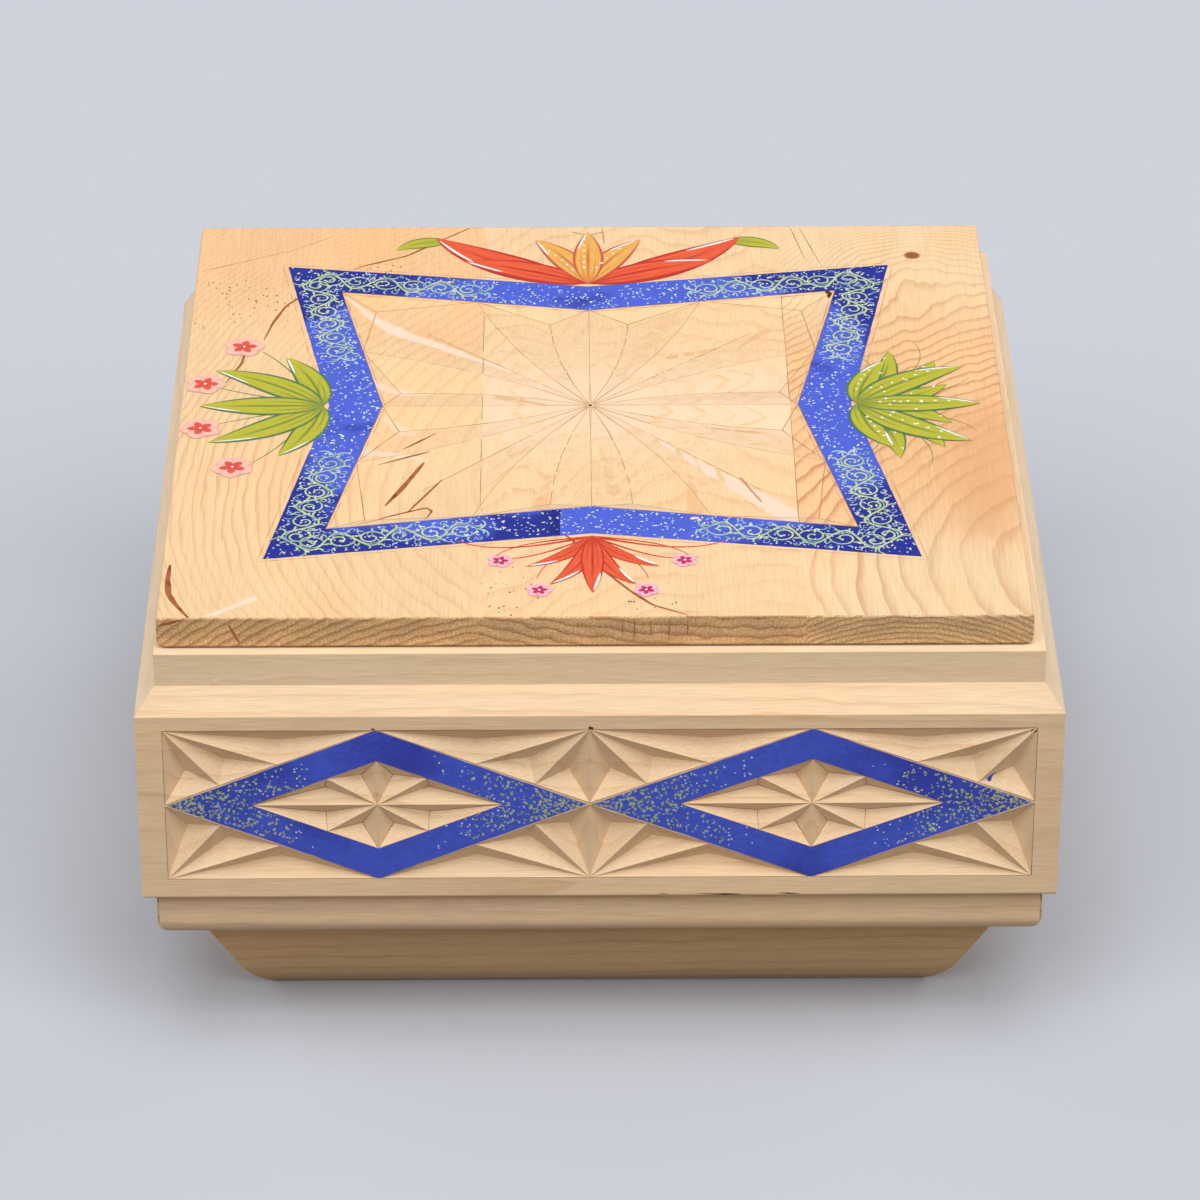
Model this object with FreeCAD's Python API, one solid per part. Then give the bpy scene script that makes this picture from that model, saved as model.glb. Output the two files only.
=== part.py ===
"""Carved wooden jewelry box with a hinged lid.

A square softwood box stands on a moulded plinth.  Its front and both sides carry a chip carved
frieze of rhombi, a flat collar stands on the bevelled walls, and a lid of three edge-glued boards
with a carved star swings on two brass butt hinges at the plain back.

Millimetres.  The origin is on the table, below the middle of the whole box.  X points right,
Y points to the back and Z points up, so the front looks along -Y.
"""

import FreeCAD, Part
import math
import os
from FreeCAD import Vector

# Body
body_width = 234.0
body_depth = 228.2
wall_thickness = 15.0
back_thickness = 12.0
wall_height = 60.6
bevel_reach = 5.1
bevel_height = 6.3
wall_arris = 1.0
collar_height = 9.0

# Bottom board and plinth
board_thickness = 14.6
board_inset = 3.4
board_round = 6.0
plinth_height = 31.4
plinth_inset = 13.1
plinth_knee_inset = 22.6
plinth_knee_height = 10.8
plinth_foot_inset = 31.0
plinth_foot_width = 10.0
plinth_bulge = 0.8

# Lid
left_board_width = 80.6
middle_board_width = 82.4
left_setback = 5.9
right_setback = 8.1
front_setback = 8.2
lid_thickness = 8.4
lid_gap = 0.2
lid_side_round = 2.0
lid_top_round = 0.6
lid_end_round = 0.4

# Star carved in the lid, measured from its own middle
star_shift = Vector(-0.5, 2.5)
star_tip = Vector(68.5, 67.0)
star_notch = 55.5
star_eye = 0.8
star_depth = 2.0
star_bank = 6.5
petal_count = 12
petal_swing = 7.0
petal_cuts = 4

# Chip carved frieze
border_top = 4.0
border_bottom = 6.1
border_end = 6.8
front_middle_shift = -2.6
rhombus_band = 8.3
rhombus_land = 0.3
corner_ridges = (0.26, 0.54)
inner_ridge = 0.6
chip_slope = 38.0
arris_drop = 0.05
tool_lift = 2.0

# Brass hinges
hinge_length = 30.0
hinge_inset = 30.0
leaf_reach = 9.0
leaf_thickness = 1.0
leaf_clearance = 0.1
knuckle_radius = 2.0
knuckle_clearance = 0.1
middle_knuckle = 9.8
knuckle_gap = 0.2
pin_radius = 0.95
pin_clearance = 0.05

# Hinge screws
screw_end_distance = 6.0
screw_reach = 5.0
screw_length = 6.0
screw_point = 1.5
shank_radius = 0.9
shank_clearance = 0.05
head_radius = 1.8
head_height = 0.8
slot_width = 0.5
slot_depth = 0.4

# Levels and faces that the pieces share
axis_behind_back = knuckle_radius + knuckle_clearance
side_x = body_width / 2
front_y = -(body_depth + axis_behind_back + knuckle_radius) / 2
back_y = front_y + body_depth
middle_y = (front_y + back_y) / 2
board_bottom = plinth_height
wall_bottom = board_bottom + board_thickness
wall_top = wall_bottom + wall_height
bevel_bottom = wall_top - bevel_height
collar_top = wall_top + collar_height
lid_bottom = collar_top + lid_gap
lid_top = lid_bottom + lid_thickness
lid_left = -side_x + left_setback
lid_right = side_x - right_setback
lid_front = front_y + front_setback
lid_seams = [lid_left + left_board_width, lid_left + left_board_width + middle_board_width]
hinge_y = back_y + axis_behind_back
hinge_z = (collar_top + lid_bottom) / 2
hinge_middles = {
    "left": -side_x + hinge_inset + hinge_length / 2,
    "right": side_x - hinge_inset - hinge_length / 2,
}


def box(x, y, z):
    """A box from three (low, high) spans."""
    return Part.makeBox(x[1] - x[0], y[1] - y[0], z[1] - z[0], Vector(x[0], y[0], z[0]))


def face_of(edges):
    return Part.Face(Part.Wire(edges))


def lines(points):
    return [Part.LineSegment(a, b).toShape() for a, b in zip(points, points[1:])]


def arc(start, through, end):
    return Part.Arc(start, through, end).toShape()


# Places on the four faces: an inset from the outer face, a run along it and a height.
def front_place(inset, run, height):
    return Vector(run, front_y + inset, height)


def back_place(inset, run, height):
    return Vector(run, back_y - inset, height)


def left_place(inset, run, height):
    return Vector(-side_x + inset, middle_y - run, height)


def right_place(inset, run, height):
    return Vector(side_x - inset, middle_y + run, height)


def plan(corners, low, high):
    """An upright prism over plan corners, used to saw a bar to its mitres."""
    points = [Vector(x, y, low) for x, y in corners]
    return Part.Face(Part.makePolygon(points + points[:1])).extrude(Vector(0, 0, high - low))


def mitre_plans(outer, width, square_back):
    """Plan outlines of the front, left, right and back bars of a frame of this width."""
    x, low, high = side_x - outer, front_y + outer, back_y - (0 if square_back else outer)
    inner_high = high if square_back else high - width
    back = None if square_back else [(-x, high), (x, high), (x - width, inner_high),
                                     (-x + width, inner_high)]
    return {
        "front": [(-x, low), (x, low), (x - width, low + width), (-x + width, low + width)],
        "left": [(-x, low), (-x + width, low + width), (-x + width, inner_high), (-x, high)],
        "right": [(x, low), (x, high), (x - width, inner_high), (x - width, low + width)],
        "back": back,
    }


def bar(place, outline, half_run):
    """A moulded bar: an outline drawn in (inset, height), run along one face of the box."""
    edges = outline(lambda inset, height: place(inset, -half_run, height))
    run = place(0, half_run, 0) - place(0, -half_run, 0)
    return face_of(edges).extrude(run)


def wall_outline(at):
    """Carved wall: softened lower arris, upright face, bevel to the collar, flat top."""
    soft = wall_arris * (1 - math.sqrt(0.5))
    return [
        arc(at(wall_arris, wall_bottom), at(soft, wall_bottom + soft), at(0, wall_bottom + wall_arris)),
    ] + lines([
        at(0, wall_bottom + wall_arris),
        at(0, bevel_bottom),
        at(bevel_reach, wall_top),
        at(wall_thickness, wall_top),
        at(wall_thickness, wall_bottom),
        at(wall_arris, wall_bottom),
    ])


def plinth_outline(at):
    """Plinth: a face that slopes in under the board and rounds in further to a narrow foot."""
    chord = (plinth_foot_inset - plinth_knee_inset, -plinth_knee_height)
    length = math.hypot(*chord)
    bulge_inset = (plinth_knee_inset + plinth_foot_inset) / 2 + plinth_bulge * chord[1] / length
    bulge_height = plinth_knee_height / 2 - plinth_bulge * chord[0] / length
    inner = plinth_foot_inset + plinth_foot_width
    return [
        arc(at(plinth_foot_inset, 0), at(bulge_inset, bulge_height),
            at(plinth_knee_inset, plinth_knee_height)),
    ] + lines([
        at(plinth_knee_inset, plinth_knee_height),
        at(plinth_inset, plinth_height),
        at(inner, plinth_height),
        at(inner, 0),
        at(plinth_foot_inset, 0),
    ])


def facet(points):
    return Part.Face(Part.makePolygon(points + points[:1]))


def solid_of(facets):
    shell = Part.Shell(facets)
    shell.sewShape()
    solid = Part.Solid(shell)
    if solid.Volume < 0:
        solid.reverse()
    return solid


# Chip carving.  A chip is a three-sided pyramid pressed into the wood: its rim lies on the face
# and its deepest point under the middle of the triangle.
def chip_middle(a, b, c):
    """The middle and radius of the circle that fits the triangle a, b, c in (run, height)."""
    side_a, side_b, side_c = b.distanceToPoint(c), c.distanceToPoint(a), a.distanceToPoint(b)
    total = side_a + side_b + side_c
    middle = (a * side_a + b * side_b + c * side_c) / total
    area = abs((b - a).cross(c - a).z) / 2
    return middle, 2 * area / total


def chip_fan(place, hub, rim, closed, deepest):
    """The wood that a fan of chips takes away.

    Ridges run from the hub to each rim point.  deepest(hub, start, end) gives the deep point
    and the depth of the chip between two rim points.  A closed fan goes all round its hub.
    """
    ends = rim[1:] + rim[:1] if closed else rim[1:]
    outline = rim if closed else [hub] + rim

    def at(point, depth):
        return place(depth, point.x, point.y)

    facets = [facet([at(point, -tool_lift) for point in outline])]
    for start, end in zip(outline, outline[1:] + outline[:1]):
        facets.append(facet([at(start, arris_drop), at(end, arris_drop),
                             at(end, -tool_lift), at(start, -tool_lift)]))
    for start, end in zip(rim, ends):
        deep, depth = deepest(hub, start, end)
        bottom = at(deep, arris_drop + depth)
        for a, b in ((hub, start), (start, end), (end, hub)):
            facets.append(facet([at(a, arris_drop), at(b, arris_drop), bottom]))
    return solid_of(facets)


def frieze_chip(hub, start, end):
    middle, radius = chip_middle(hub, start, end)
    return middle, radius * math.tan(math.radians(chip_slope))


def between(a, b, share):
    return a + (b - a) * share


def frieze_fans(place, low, high, middle):
    """Chips of one frieze panel: two rhombi side by side, tip to tip.

    The flat band of each rhombus is left standing.  Fans open from the panel's corners and from
    its middle on both long edges, and one closed fan fills each rhombus.
    """
    bottom, top = wall_bottom + border_bottom, bevel_bottom - border_top
    centre = (bottom + top) / 2
    stations = [low, middle, high]
    fans = []
    for edge, side in ((top, 1), (bottom, -1)):
        for index, station in enumerate(stations):
            tip = Vector(station, centre + side * rhombus_land)
            rim = []
            if index > 0:
                crown = Vector((stations[index - 1] + station) / 2 + rhombus_land, edge)
                rim += [crown] + [between(tip, crown, share) for share in reversed(corner_ridges)]
            rim.append(tip)
            if index < len(stations) - 1:
                crown = Vector((station + stations[index + 1]) / 2 - rhombus_land, edge)
                rim += [between(tip, crown, share) for share in corner_ridges] + [crown]
            fans.append(chip_fan(place, Vector(station, edge), rim, False, frieze_chip))
    for start, end in zip(stations, stations[1:]):
        hub = Vector((start + end) / 2, centre)
        half_length, half_height = (end - start) / 2, (top - bottom) / 2
        edge_distance = half_length * half_height / math.hypot(half_length, half_height)
        scale = 1 - rhombus_band / edge_distance
        tips = [Vector(half_length, 0), Vector(0, half_height), Vector(-half_length, 0),
                Vector(0, -half_height)]
        rim = []
        for index, tip in enumerate(tips):
            following = tips[(index + 1) % 4]
            share = inner_ridge if index % 2 == 0 else 1 - inner_ridge
            rim += [hub + tip * scale, hub + between(tip, following, share) * scale]
        fans.append(chip_fan(place, hub, rim, True, frieze_chip))
    return fans


def star_reach(angle, bank):
    """How far the star reaches along a ray, less a bank measured square to its edge."""
    cos, sin = abs(math.cos(angle)), abs(math.sin(angle))
    reaches = []
    for along, aside, tip_along, tip_aside in ((cos, sin, star_tip.x, star_tip.y),
                                               (sin, cos, star_tip.y, star_tip.x)):
        lean = (tip_along - star_notch) / tip_aside
        if along > lean * aside:
            reaches.append((star_notch - bank * math.hypot(1, lean)) / (along - lean * aside))
    return min(reaches)


def star_line(place, base, bank, depth):
    """Points along one carved line of the star: it leaves the eye, swings towards the nearer
    axis of the star and ends a bank's width inside the outline, at this depth."""
    points = []
    for index in range(petal_cuts + 1):
        share = index / petal_cuts
        angle = base + math.radians(petal_swing) * math.sin(4 * base) * (1 - 1.5 * share)
        reach = between(star_eye, star_reach(angle, bank), share)
        points.append(place(arris_drop + depth * share, math.cos(angle) * reach,
                            math.sin(angle) * reach))
    return points


def star_tool(place):
    """The wood that the star takes away: hollows with curved sides, round a small eye.

    Ridges run out to the outline.  Between two ridges lies a valley, from which a bank rises to
    the outline, or two banks where a tip of the star stands between the ridges.
    """
    step = 2 * math.pi / petal_count
    ridges = [star_line(place, step * index, 0, 0) for index in range(petal_count)]
    valleys = [star_line(place, step * (index + 0.5), star_bank, star_depth)
               for index in range(petal_count)]
    eye, outline, facets = [], [], []
    for index, (ridge, valley) in enumerate(zip(ridges, valleys)):
        following = ridges[(index + 1) % petal_count]
        for side in (ridge, following):
            for cut in range(petal_cuts):
                facets += [facet([side[cut], side[cut + 1], valley[cut]]),
                           facet([side[cut + 1], valley[cut + 1], valley[cut]])]
        eye += [ridge[0], valley[0]]
        corners = [ridge[-1]]
        middle = step * (index + 0.5)
        if abs(abs(math.cos(middle)) - abs(math.sin(middle))) < 1e-9:
            corners.append(place(arris_drop, math.copysign(star_tip.x, math.cos(middle)),
                                 math.copysign(star_tip.y, math.sin(middle))))
        outline += corners
        corners.append(following[-1])
        facets += [facet([start, end, valley[-1]]) for start, end in zip(corners, corners[1:])]
    raised = place(-tool_lift, 0, 0) - place(arris_drop, 0, 0)
    for start, end in zip(outline, outline[1:] + outline[:1]):
        facets.append(facet([start, end, end + raised, start + raised]))
    facets += [facet(eye), facet([corner + raised for corner in outline])]
    return solid_of(facets)


def make_walls():
    """Front and side walls mitred at the front corners; the plain back stands between the sides."""
    panels = {
        "front": (front_place, side_x, front_middle_shift),
        "left": (left_place, body_depth / 2, 0),
        "right": (right_place, body_depth / 2, 0),
    }
    plans = mitre_plans(0, wall_thickness, True)
    walls = {}
    for name, (place, half_run, middle) in panels.items():
        solid = bar(place, wall_outline, half_run)
        solid = solid.common(plan(plans[name], wall_bottom, wall_top))
        fans = frieze_fans(place, -half_run + border_end, half_run - border_end, middle)
        walls["wall_" + name] = solid.cut(fans)
    inner_x = side_x - wall_thickness
    walls["wall_back"] = box((-inner_x, inner_x), (back_y - back_thickness, back_y),
                             (wall_bottom, wall_top))
    return walls


def make_collar():
    """Flat frame on the walls, from the top of the bevel in to the wall's inner face."""
    width = wall_thickness - bevel_reach
    x, low = side_x - bevel_reach, front_y + bevel_reach
    corners = {
        "front": [(-x, low), (x, low), (x - width, low + width), (-x + width, low + width)],
        "left": [(-x, low), (-x + width, low + width), (-x + width, back_y), (-x, back_y)],
        "right": [(x, low), (x, back_y), (x - width, back_y), (x - width, low + width)],
    }
    pieces = {"collar_" + name: plan(points, wall_top, collar_top) for name, points in corners.items()}
    inner_x = side_x - wall_thickness
    back = box((-inner_x, inner_x), (back_y - back_thickness, back_y), (wall_top, collar_top))
    pieces["collar_back"] = back.cut(hinge_seats(collar_top - leaf_thickness, collar_top, -1))
    return pieces


def make_bottom_board():
    """Board under the walls, with a large round along its lower edges."""
    x = side_x - board_inset
    board = box((-x, x), (front_y + board_inset, back_y - board_inset), (board_bottom, wall_bottom))
    lower = [edge for edge in board.Edges if edge.BoundBox.ZMax < board_bottom + 1e-6]
    return board.makeFillet(board_round, lower)


def make_plinth():
    """Four moulded bars mitred into a frame under the bottom board."""
    width = plinth_foot_inset + plinth_foot_width
    plans = mitre_plans(0, width, False)
    runs = {"front": (front_place, side_x), "back": (back_place, side_x),
            "left": (left_place, body_depth / 2), "right": (right_place, body_depth / 2)}
    return {
        "plinth_" + name: bar(place, plinth_outline, half_run).common(plan(plans[name], 0, plinth_height))
        for name, (place, half_run) in runs.items()
    }


def make_lid():
    """Three boards glued edge to edge, softened at the arrises, with the star carved across them."""
    def at(x, z):
        return Vector(x, lid_front, z)

    def rounded(x, z, radius, out_x, out_z, first_upright):
        """The arc of one corner: it starts on the upright edge or on the level one."""
        centre_x, centre_z = x - out_x * radius, z - out_z * radius
        upright, level = at(x, centre_z), at(centre_x, z)
        diagonal = radius * math.sqrt(0.5)
        through = at(centre_x + out_x * diagonal, centre_z + out_z * diagonal)
        return arc(upright, through, level) if first_upright else arc(level, through, upright)

    edges = [
        rounded(lid_right, lid_bottom, lid_side_round, 1, -1, False),
        rounded(lid_right, lid_top, lid_top_round, 1, 1, True),
        rounded(lid_left, lid_top, lid_top_round, -1, 1, False),
        rounded(lid_left, lid_bottom, lid_side_round, -1, -1, True),
    ]
    joined = []
    for edge, following in zip(edges, edges[1:] + edges[:1]):
        joined += [edge] + lines([edge.Vertexes[-1].Point, following.Vertexes[0].Point])
    lid = face_of(joined).extrude(Vector(0, back_y - lid_front, 0))
    ends = [edge for face in lid.Faces if face.BoundBox.YLength < 1e-6 for edge in face.Edges]
    lid = lid.makeFillet(lid_end_round, ends)

    centre = Vector((lid_left + lid_right) / 2, (lid_front + back_y) / 2) + star_shift

    def lid_place(depth, run, across):
        return Vector(centre.x + run, centre.y + across, lid_top - depth)

    lid = lid.cut([star_tool(lid_place)] + hinge_seats(lid_bottom, lid_bottom + leaf_thickness, 1))
    spans = zip(["left", "middle", "right"], [lid_left] + lid_seams, lid_seams + [lid_right])
    return {
        "lid_board_" + name: lid.common(box((start, end), (lid_front, back_y), (lid_bottom, lid_top)))
        for name, start, end in spans
    }


def hinge_seats(low, high, side):
    """Sinkings for both leaves in one edge, with the screws' pilot holes going on past them."""
    tools = []
    for middle in hinge_middles.values():
        half = hinge_length / 2 + leaf_clearance
        tools.append(box((middle - half, middle + half),
                         (back_y - leaf_reach - leaf_clearance, back_y), (low, high)))
        for x in screw_places(middle):
            seat = Vector(x, back_y - screw_reach, high if side > 0 else low)
            tools.append(Part.makeCylinder(shank_radius + shank_clearance, screw_length, seat,
                                           Vector(0, 0, side)))
    return tools


def screw_places(middle):
    half = hinge_length / 2 - screw_end_distance
    return [middle - half, middle + half]


def knuckle_spans(middle, is_lid):
    half_middle, half = middle_knuckle / 2, hinge_length / 2
    if is_lid:
        return [(middle - half_middle, middle + half_middle)]
    return [(middle - half, middle - half_middle - knuckle_gap),
            (middle + half_middle + knuckle_gap, middle + half)]


def make_leaf(middle, is_lid):
    """One leaf: a plate let in flush, its rolled knuckles and two countersunk holes."""
    low = lid_bottom if is_lid else collar_top - leaf_thickness
    high = low + leaf_thickness
    half = hinge_length / 2
    leaf = box((middle - half, middle + half), (back_y - leaf_reach, back_y), (low, high))
    for start, end in knuckle_spans(middle, is_lid):
        root = box((start, end), (back_y, hinge_y), (low, high))
        roll = Part.makeCylinder(knuckle_radius, end - start, Vector(start, hinge_y, hinge_z),
                                 Vector(1, 0, 0))
        leaf = leaf.fuse([root, roll])
    bore = Part.makeCylinder(pin_radius + pin_clearance, hinge_length,
                             Vector(middle - half, hinge_y, hinge_z), Vector(1, 0, 0))
    shown, inward = (low, 1) if is_lid else (high, -1)
    holes = [screw_body(x, shown, inward, shank_clearance) for x in screw_places(middle)]
    return leaf.cut([bore] + holes).removeSplitter()


def screw_body(x, shown, inward, clearance):
    """A countersunk screw about its axis, from its head's face at height shown, grown by clearance."""
    head, shank = head_radius + clearance, shank_radius + clearance
    outline = [(0, 0), (head, 0), (shank, head_height), (shank, screw_length - screw_point),
               (0, screw_length)]
    points = [Vector(x + radius, back_y - screw_reach, shown + inward * depth)
              for radius, depth in outline]
    half = Part.Face(Part.makePolygon(points + points[:1]))
    return half.revolve(Vector(x, back_y - screw_reach, shown), Vector(0, 0, 1), 360)


def make_screws(is_lid):
    """The four screws of one side of both hinges, each with a slot across its head."""
    shown, inward = (lid_bottom, 1) if is_lid else (collar_top, -1)
    screws = []
    for middle in hinge_middles.values():
        for x in screw_places(middle):
            depth = sorted((shown, shown + inward * slot_depth))
            slot = box((x - slot_width / 2, x + slot_width / 2),
                       (back_y - screw_reach - head_radius, back_y - screw_reach + head_radius), depth)
            screws.append(screw_body(x, shown, inward, 0).cut(slot))
    return Part.makeCompound(screws)


def make_hinges():
    nodes = {}
    for side, middle in hinge_middles.items():
        nodes["hinge_" + side + "_lid_leaf"] = make_leaf(middle, True)
        nodes["hinge_" + side + "_body_leaf"] = make_leaf(middle, False)
        start = Vector(middle - hinge_length / 2, hinge_y, hinge_z)
        nodes["hinge_" + side + "_pin"] = Part.makeCylinder(pin_radius, hinge_length, start,
                                                            Vector(1, 0, 0))
    nodes["lid_hinge_screws"] = make_screws(True)
    nodes["body_hinge_screws"] = make_screws(False)
    return nodes


nodes = {"bottom_board": make_bottom_board()}
for group in (make_plinth(), make_walls(), make_collar(), make_lid(), make_hinges()):
    nodes.update(group)

os.makedirs("parts", exist_ok=True)
for name, shape in nodes.items():
    shape.exportStep("parts/" + name + ".step")
    print(f"{name:24s} solids {len(shape.Solids)}  valid {shape.isValid()}  "
          f"volume {shape.Volume / 1000:8.2f} cm3")
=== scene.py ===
"""Looks of the carved wooden jewelry box: its softwoods, paint and brass, on a plain pale floor."""

import math
import random

import bmesh
import bpy
from mathutils import Matrix, Vector
from mathutils.bvhtree import BVHTree


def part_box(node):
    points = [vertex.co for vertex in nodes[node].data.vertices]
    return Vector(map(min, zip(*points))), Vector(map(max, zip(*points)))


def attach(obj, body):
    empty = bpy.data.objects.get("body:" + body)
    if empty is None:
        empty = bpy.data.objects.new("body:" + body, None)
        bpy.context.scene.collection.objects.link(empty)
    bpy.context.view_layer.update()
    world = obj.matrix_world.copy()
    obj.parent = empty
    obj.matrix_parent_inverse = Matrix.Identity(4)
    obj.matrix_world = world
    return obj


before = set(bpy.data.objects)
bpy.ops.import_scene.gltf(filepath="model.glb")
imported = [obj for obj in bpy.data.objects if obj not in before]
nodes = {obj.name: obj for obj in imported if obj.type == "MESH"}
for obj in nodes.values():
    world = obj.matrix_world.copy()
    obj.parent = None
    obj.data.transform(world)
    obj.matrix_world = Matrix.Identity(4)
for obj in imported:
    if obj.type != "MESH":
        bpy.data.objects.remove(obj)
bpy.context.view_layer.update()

# Studio: a pale paper floor that fills the view, a broad lamp overhead, broad fill lamps off all
# four corners and an even sky.  The camera looks down at the carved front through a long lens.
floor_size = 6.0
sky_strength = 0.09
lamps = {"overhead_lamp": (6.0, 80.0, 40.0, 1.29), "right_lamp": (42.0, 44.0, 40.0, 1.045),
         "left_lamp": (-38.0, 44.0, 40.0, 1.045), "far_right_lamp": (118.0, 22.0, 50.0, 0.6),
         "far_left_lamp": (-118.0, 22.0, 50.0, 0.6)}
lens_mm, sensor_mm = 167.76, 36.0
camera_place = Vector((-0.00996, -1.31547, 0.83043))
camera_pitch = 30.144
camera_yaw = -0.476


def tint(red, green, blue):
    """A colour as it is seen, each part from 0 to 255."""
    shares = [part / 255 for part in (red, green, blue)]
    return tuple(part / 12.92 if part < 0.04045 else ((part + 0.055) / 1.055) ** 2.4
                 for part in shares) + (1.0,)


def add_node(tree, kind, inputs=None, **options):
    """One shader node: options are its own settings, inputs its sockets by name or number."""
    made = tree.nodes.new("ShaderNode" + kind)
    for option, value in options.items():
        setattr(made, option, value)
    for key, value in (inputs or {}).items():
        if isinstance(value, bpy.types.NodeSocket):
            tree.links.new(value, made.inputs[key])
        else:
            made.inputs[key].default_value = value
    return made.outputs


def calc(tree, operation, a, b=0.0):
    return add_node(tree, "Math", {0: a, 1: b}, operation=operation)[0]


def mix_colours(tree, share, first, second, blend="MIX"):
    return add_node(tree, "Mix", {0: share, 6: first, 7: second}, data_type="RGBA",
                    blend_type=blend)[2]


def new_material(name, roughness, gloss):
    """A material with its shader's constants set, its tree and its shader."""
    material = bpy.data.materials.new(name)
    material.use_nodes = True
    shader = material.node_tree.nodes["Principled BSDF"]
    shader.inputs["Roughness"].default_value = roughness
    shader.inputs["Specular IOR Level"].default_value = gloss
    return material, material.node_tree, shader


def mesh_object(name, shape, material):
    """A finished bmesh as an object at the origin."""
    mesh = bpy.data.meshes.new(name)
    shape.to_mesh(mesh)
    shape.free()
    made = bpy.data.objects.new(name, mesh)
    bpy.context.scene.collection.objects.link(made)
    mesh.materials.append(material)
    return made


floor_seen, floor_bounce = tint(198, 202, 211), (0.18, 0.15, 0.12, 1.0)
paper, paper_tree, paper_shader = new_material("floor_paper", roughness=0.9, gloss=0.05)
ray = add_node(paper_tree, "LightPath")
seen = calc(paper_tree, "MAXIMUM", ray["Is Camera Ray"],
            calc(paper_tree, "MAXIMUM", ray["Is Glossy Ray"], ray["Is Transmission Ray"]))
paper_tree.links.new(mix_colours(paper_tree, seen, floor_bounce, floor_seen),
                     paper_shader.inputs["Base Color"])
floor_shape = bmesh.new()
bmesh.ops.create_grid(floor_shape, x_segments=2, y_segments=2, size=floor_size)
floor = mesh_object("floor", floor_shape, paper)

world = bpy.data.worlds.new("even_sky")
world.use_nodes = True
world.node_tree.nodes["Background"].inputs["Color"].default_value = (1.0, 1.0, 1.0, 1.0)
world.node_tree.nodes["Background"].inputs["Strength"].default_value = sky_strength
bpy.context.scene.world = world

for lamp_name, (azimuth, elevation, softness, strength) in lamps.items():
    lamp_data = bpy.data.lights.new(lamp_name, "SUN")
    lamp_data.energy = strength
    lamp_data.angle = math.radians(softness)
    lamp = bpy.data.objects.new(lamp_name, lamp_data)
    lamp.rotation_euler = (math.radians(90 - elevation), 0, math.radians(azimuth))
    bpy.context.scene.collection.objects.link(lamp)

camera_data = bpy.data.cameras.new("front_camera")
camera_data.lens = lens_mm
camera_data.sensor_width = sensor_mm
camera = bpy.data.objects.new("front_camera", camera_data)
camera.location = camera_place
camera.rotation_euler = (math.radians(90 - camera_pitch), 0, math.radians(camera_yaw))
bpy.context.scene.collection.objects.link(camera)
bpy.context.scene.camera = camera
bpy.context.scene.view_settings.view_transform = "Standard"


# Plinth, bottom board, walls and collar: planed pale softwood, glued up and left bare.  The grain
# follows each bar, so it turns the corner at every mitre.
wall_low, wall_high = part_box("wall_front")
board_low, board_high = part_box("bottom_board")
back_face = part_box("wall_back")[1].y
front_face = wall_low.y
side_face = wall_high.x
case_pale, case_dark = tint(252, 219, 178), tint(228, 183, 132)
# The wall's side bars take a slightly paler colour than its front: painted light, for the brighter light
# their grazing bevels catch.
bar_colours = {"wall": (case_pale, tint(255, 226, 188), case_dark),
               "collar": (tint(255, 227, 188), tint(255, 227, 188), tint(244, 204, 156)),
               "plinth": (tint(255, 213, 158), tint(255, 213, 158), tint(214, 158, 102))}
flushed = (0.98, 0.83, 0.7, 1.0)
speck_brown, knot_brown = tint(96, 62, 40), tint(150, 85, 45)
end_rings, end_warmth = tint(186, 128, 76), (1.0, 0.92, 0.79, 1.0)
ring_step = 0.0042
case_rings = (ring_step, 0.02, 0.006, 1.0)
long_heart, cross_heart, board_heart = (0.05, front_face - 0.05), (0.05, -0.3), (-0.05, -0.05)
case_flush = 0.2
crowd_reach = 0.1
heart_plain = (0.075, 0.11)
knot_edge = (0.0016, 0.0028)
end_skin = 0.0003
# Painted shadow line along the foot of the lid's sawn ends: how far up it reaches and how dark it is.
lid_shadow_reach, lid_shadow_tone = (0.0002, 0.0009), 0.3
broad_stain = 0.012
roam_scale, shake_scale = (9.0, 24.0, 24.0), (45.0, 170.0, 170.0)
late_scale, flush_scale = (12.0, 42.0, 42.0), (8.0, 20.0, 20.0)
fibre_scale, cloud_scale = (110.0, 3000.0, 3000.0), (12.0, 34.0, 34.0)
stain_scale, speck_scale, speck_cloud = (150.0, 400.0, 400.0), (420.0, 620.0, 24.0), 90.0
end_scale, pore_scale = (40.0, 90.0, 300.0), 1900.0


def times(tree, *factors):
    product = factors[0]
    for factor in factors[1:]:
        product = calc(tree, "MULTIPLY", product, factor)
    return product


def ramp(tree, value, low, high, out_low=0.0, out_high=1.0):
    """Value carried smoothly from low..high to out_low..out_high."""
    return add_node(tree, "MapRange", {0: value, 1: low, 2: high, 3: out_low, 4: out_high},
                    interpolation_type="SMOOTHSTEP")[0]


def noise(tree, vector, scale, detail=2.0):
    return add_node(tree, "TexNoise", {"Vector": vector, "Scale": scale, "Detail": detail})[0]


def stretched(tree, vector, scale):
    return add_node(tree, "VectorMath", {0: vector, 1: scale}, operation="MULTIPLY")[0]


def varied(tree, vector, scale, low, high, detail=2.0, size=1.0):
    """A value that wanders from low to high, with its own scale along each axis."""
    return ramp(tree, noise(tree, stretched(tree, vector, scale), size, detail), 0.3, 0.7, low, high)


def distance(tree, first, second):
    return add_node(tree, "VectorMath", {0: first, 1: second}, operation="DISTANCE")["Value"]


def vector_length(tree, vector):
    return add_node(tree, "VectorMath", {0: vector}, operation="LENGTH")["Value"]


def dress(tree, shader, colour, relief, strength, depth):
    """Joins a colour and a fine relief to a shader."""
    tree.links.new(colour, shader.inputs["Base Color"])
    bump = add_node(tree, "Bump", {"Strength": strength, "Distance": depth, "Height": relief})[0]
    tree.links.new(bump, shader.inputs["Normal"])


def shaded(tree, colour, tone):
    """Colour made lighter or darker by a tone near 1."""
    grey = add_node(tree, "CombineColor", {0: tone, 1: tone, 2: tone})[0]
    return mix_colours(tree, 1.0, colour, grey, "MULTIPLY")


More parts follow.
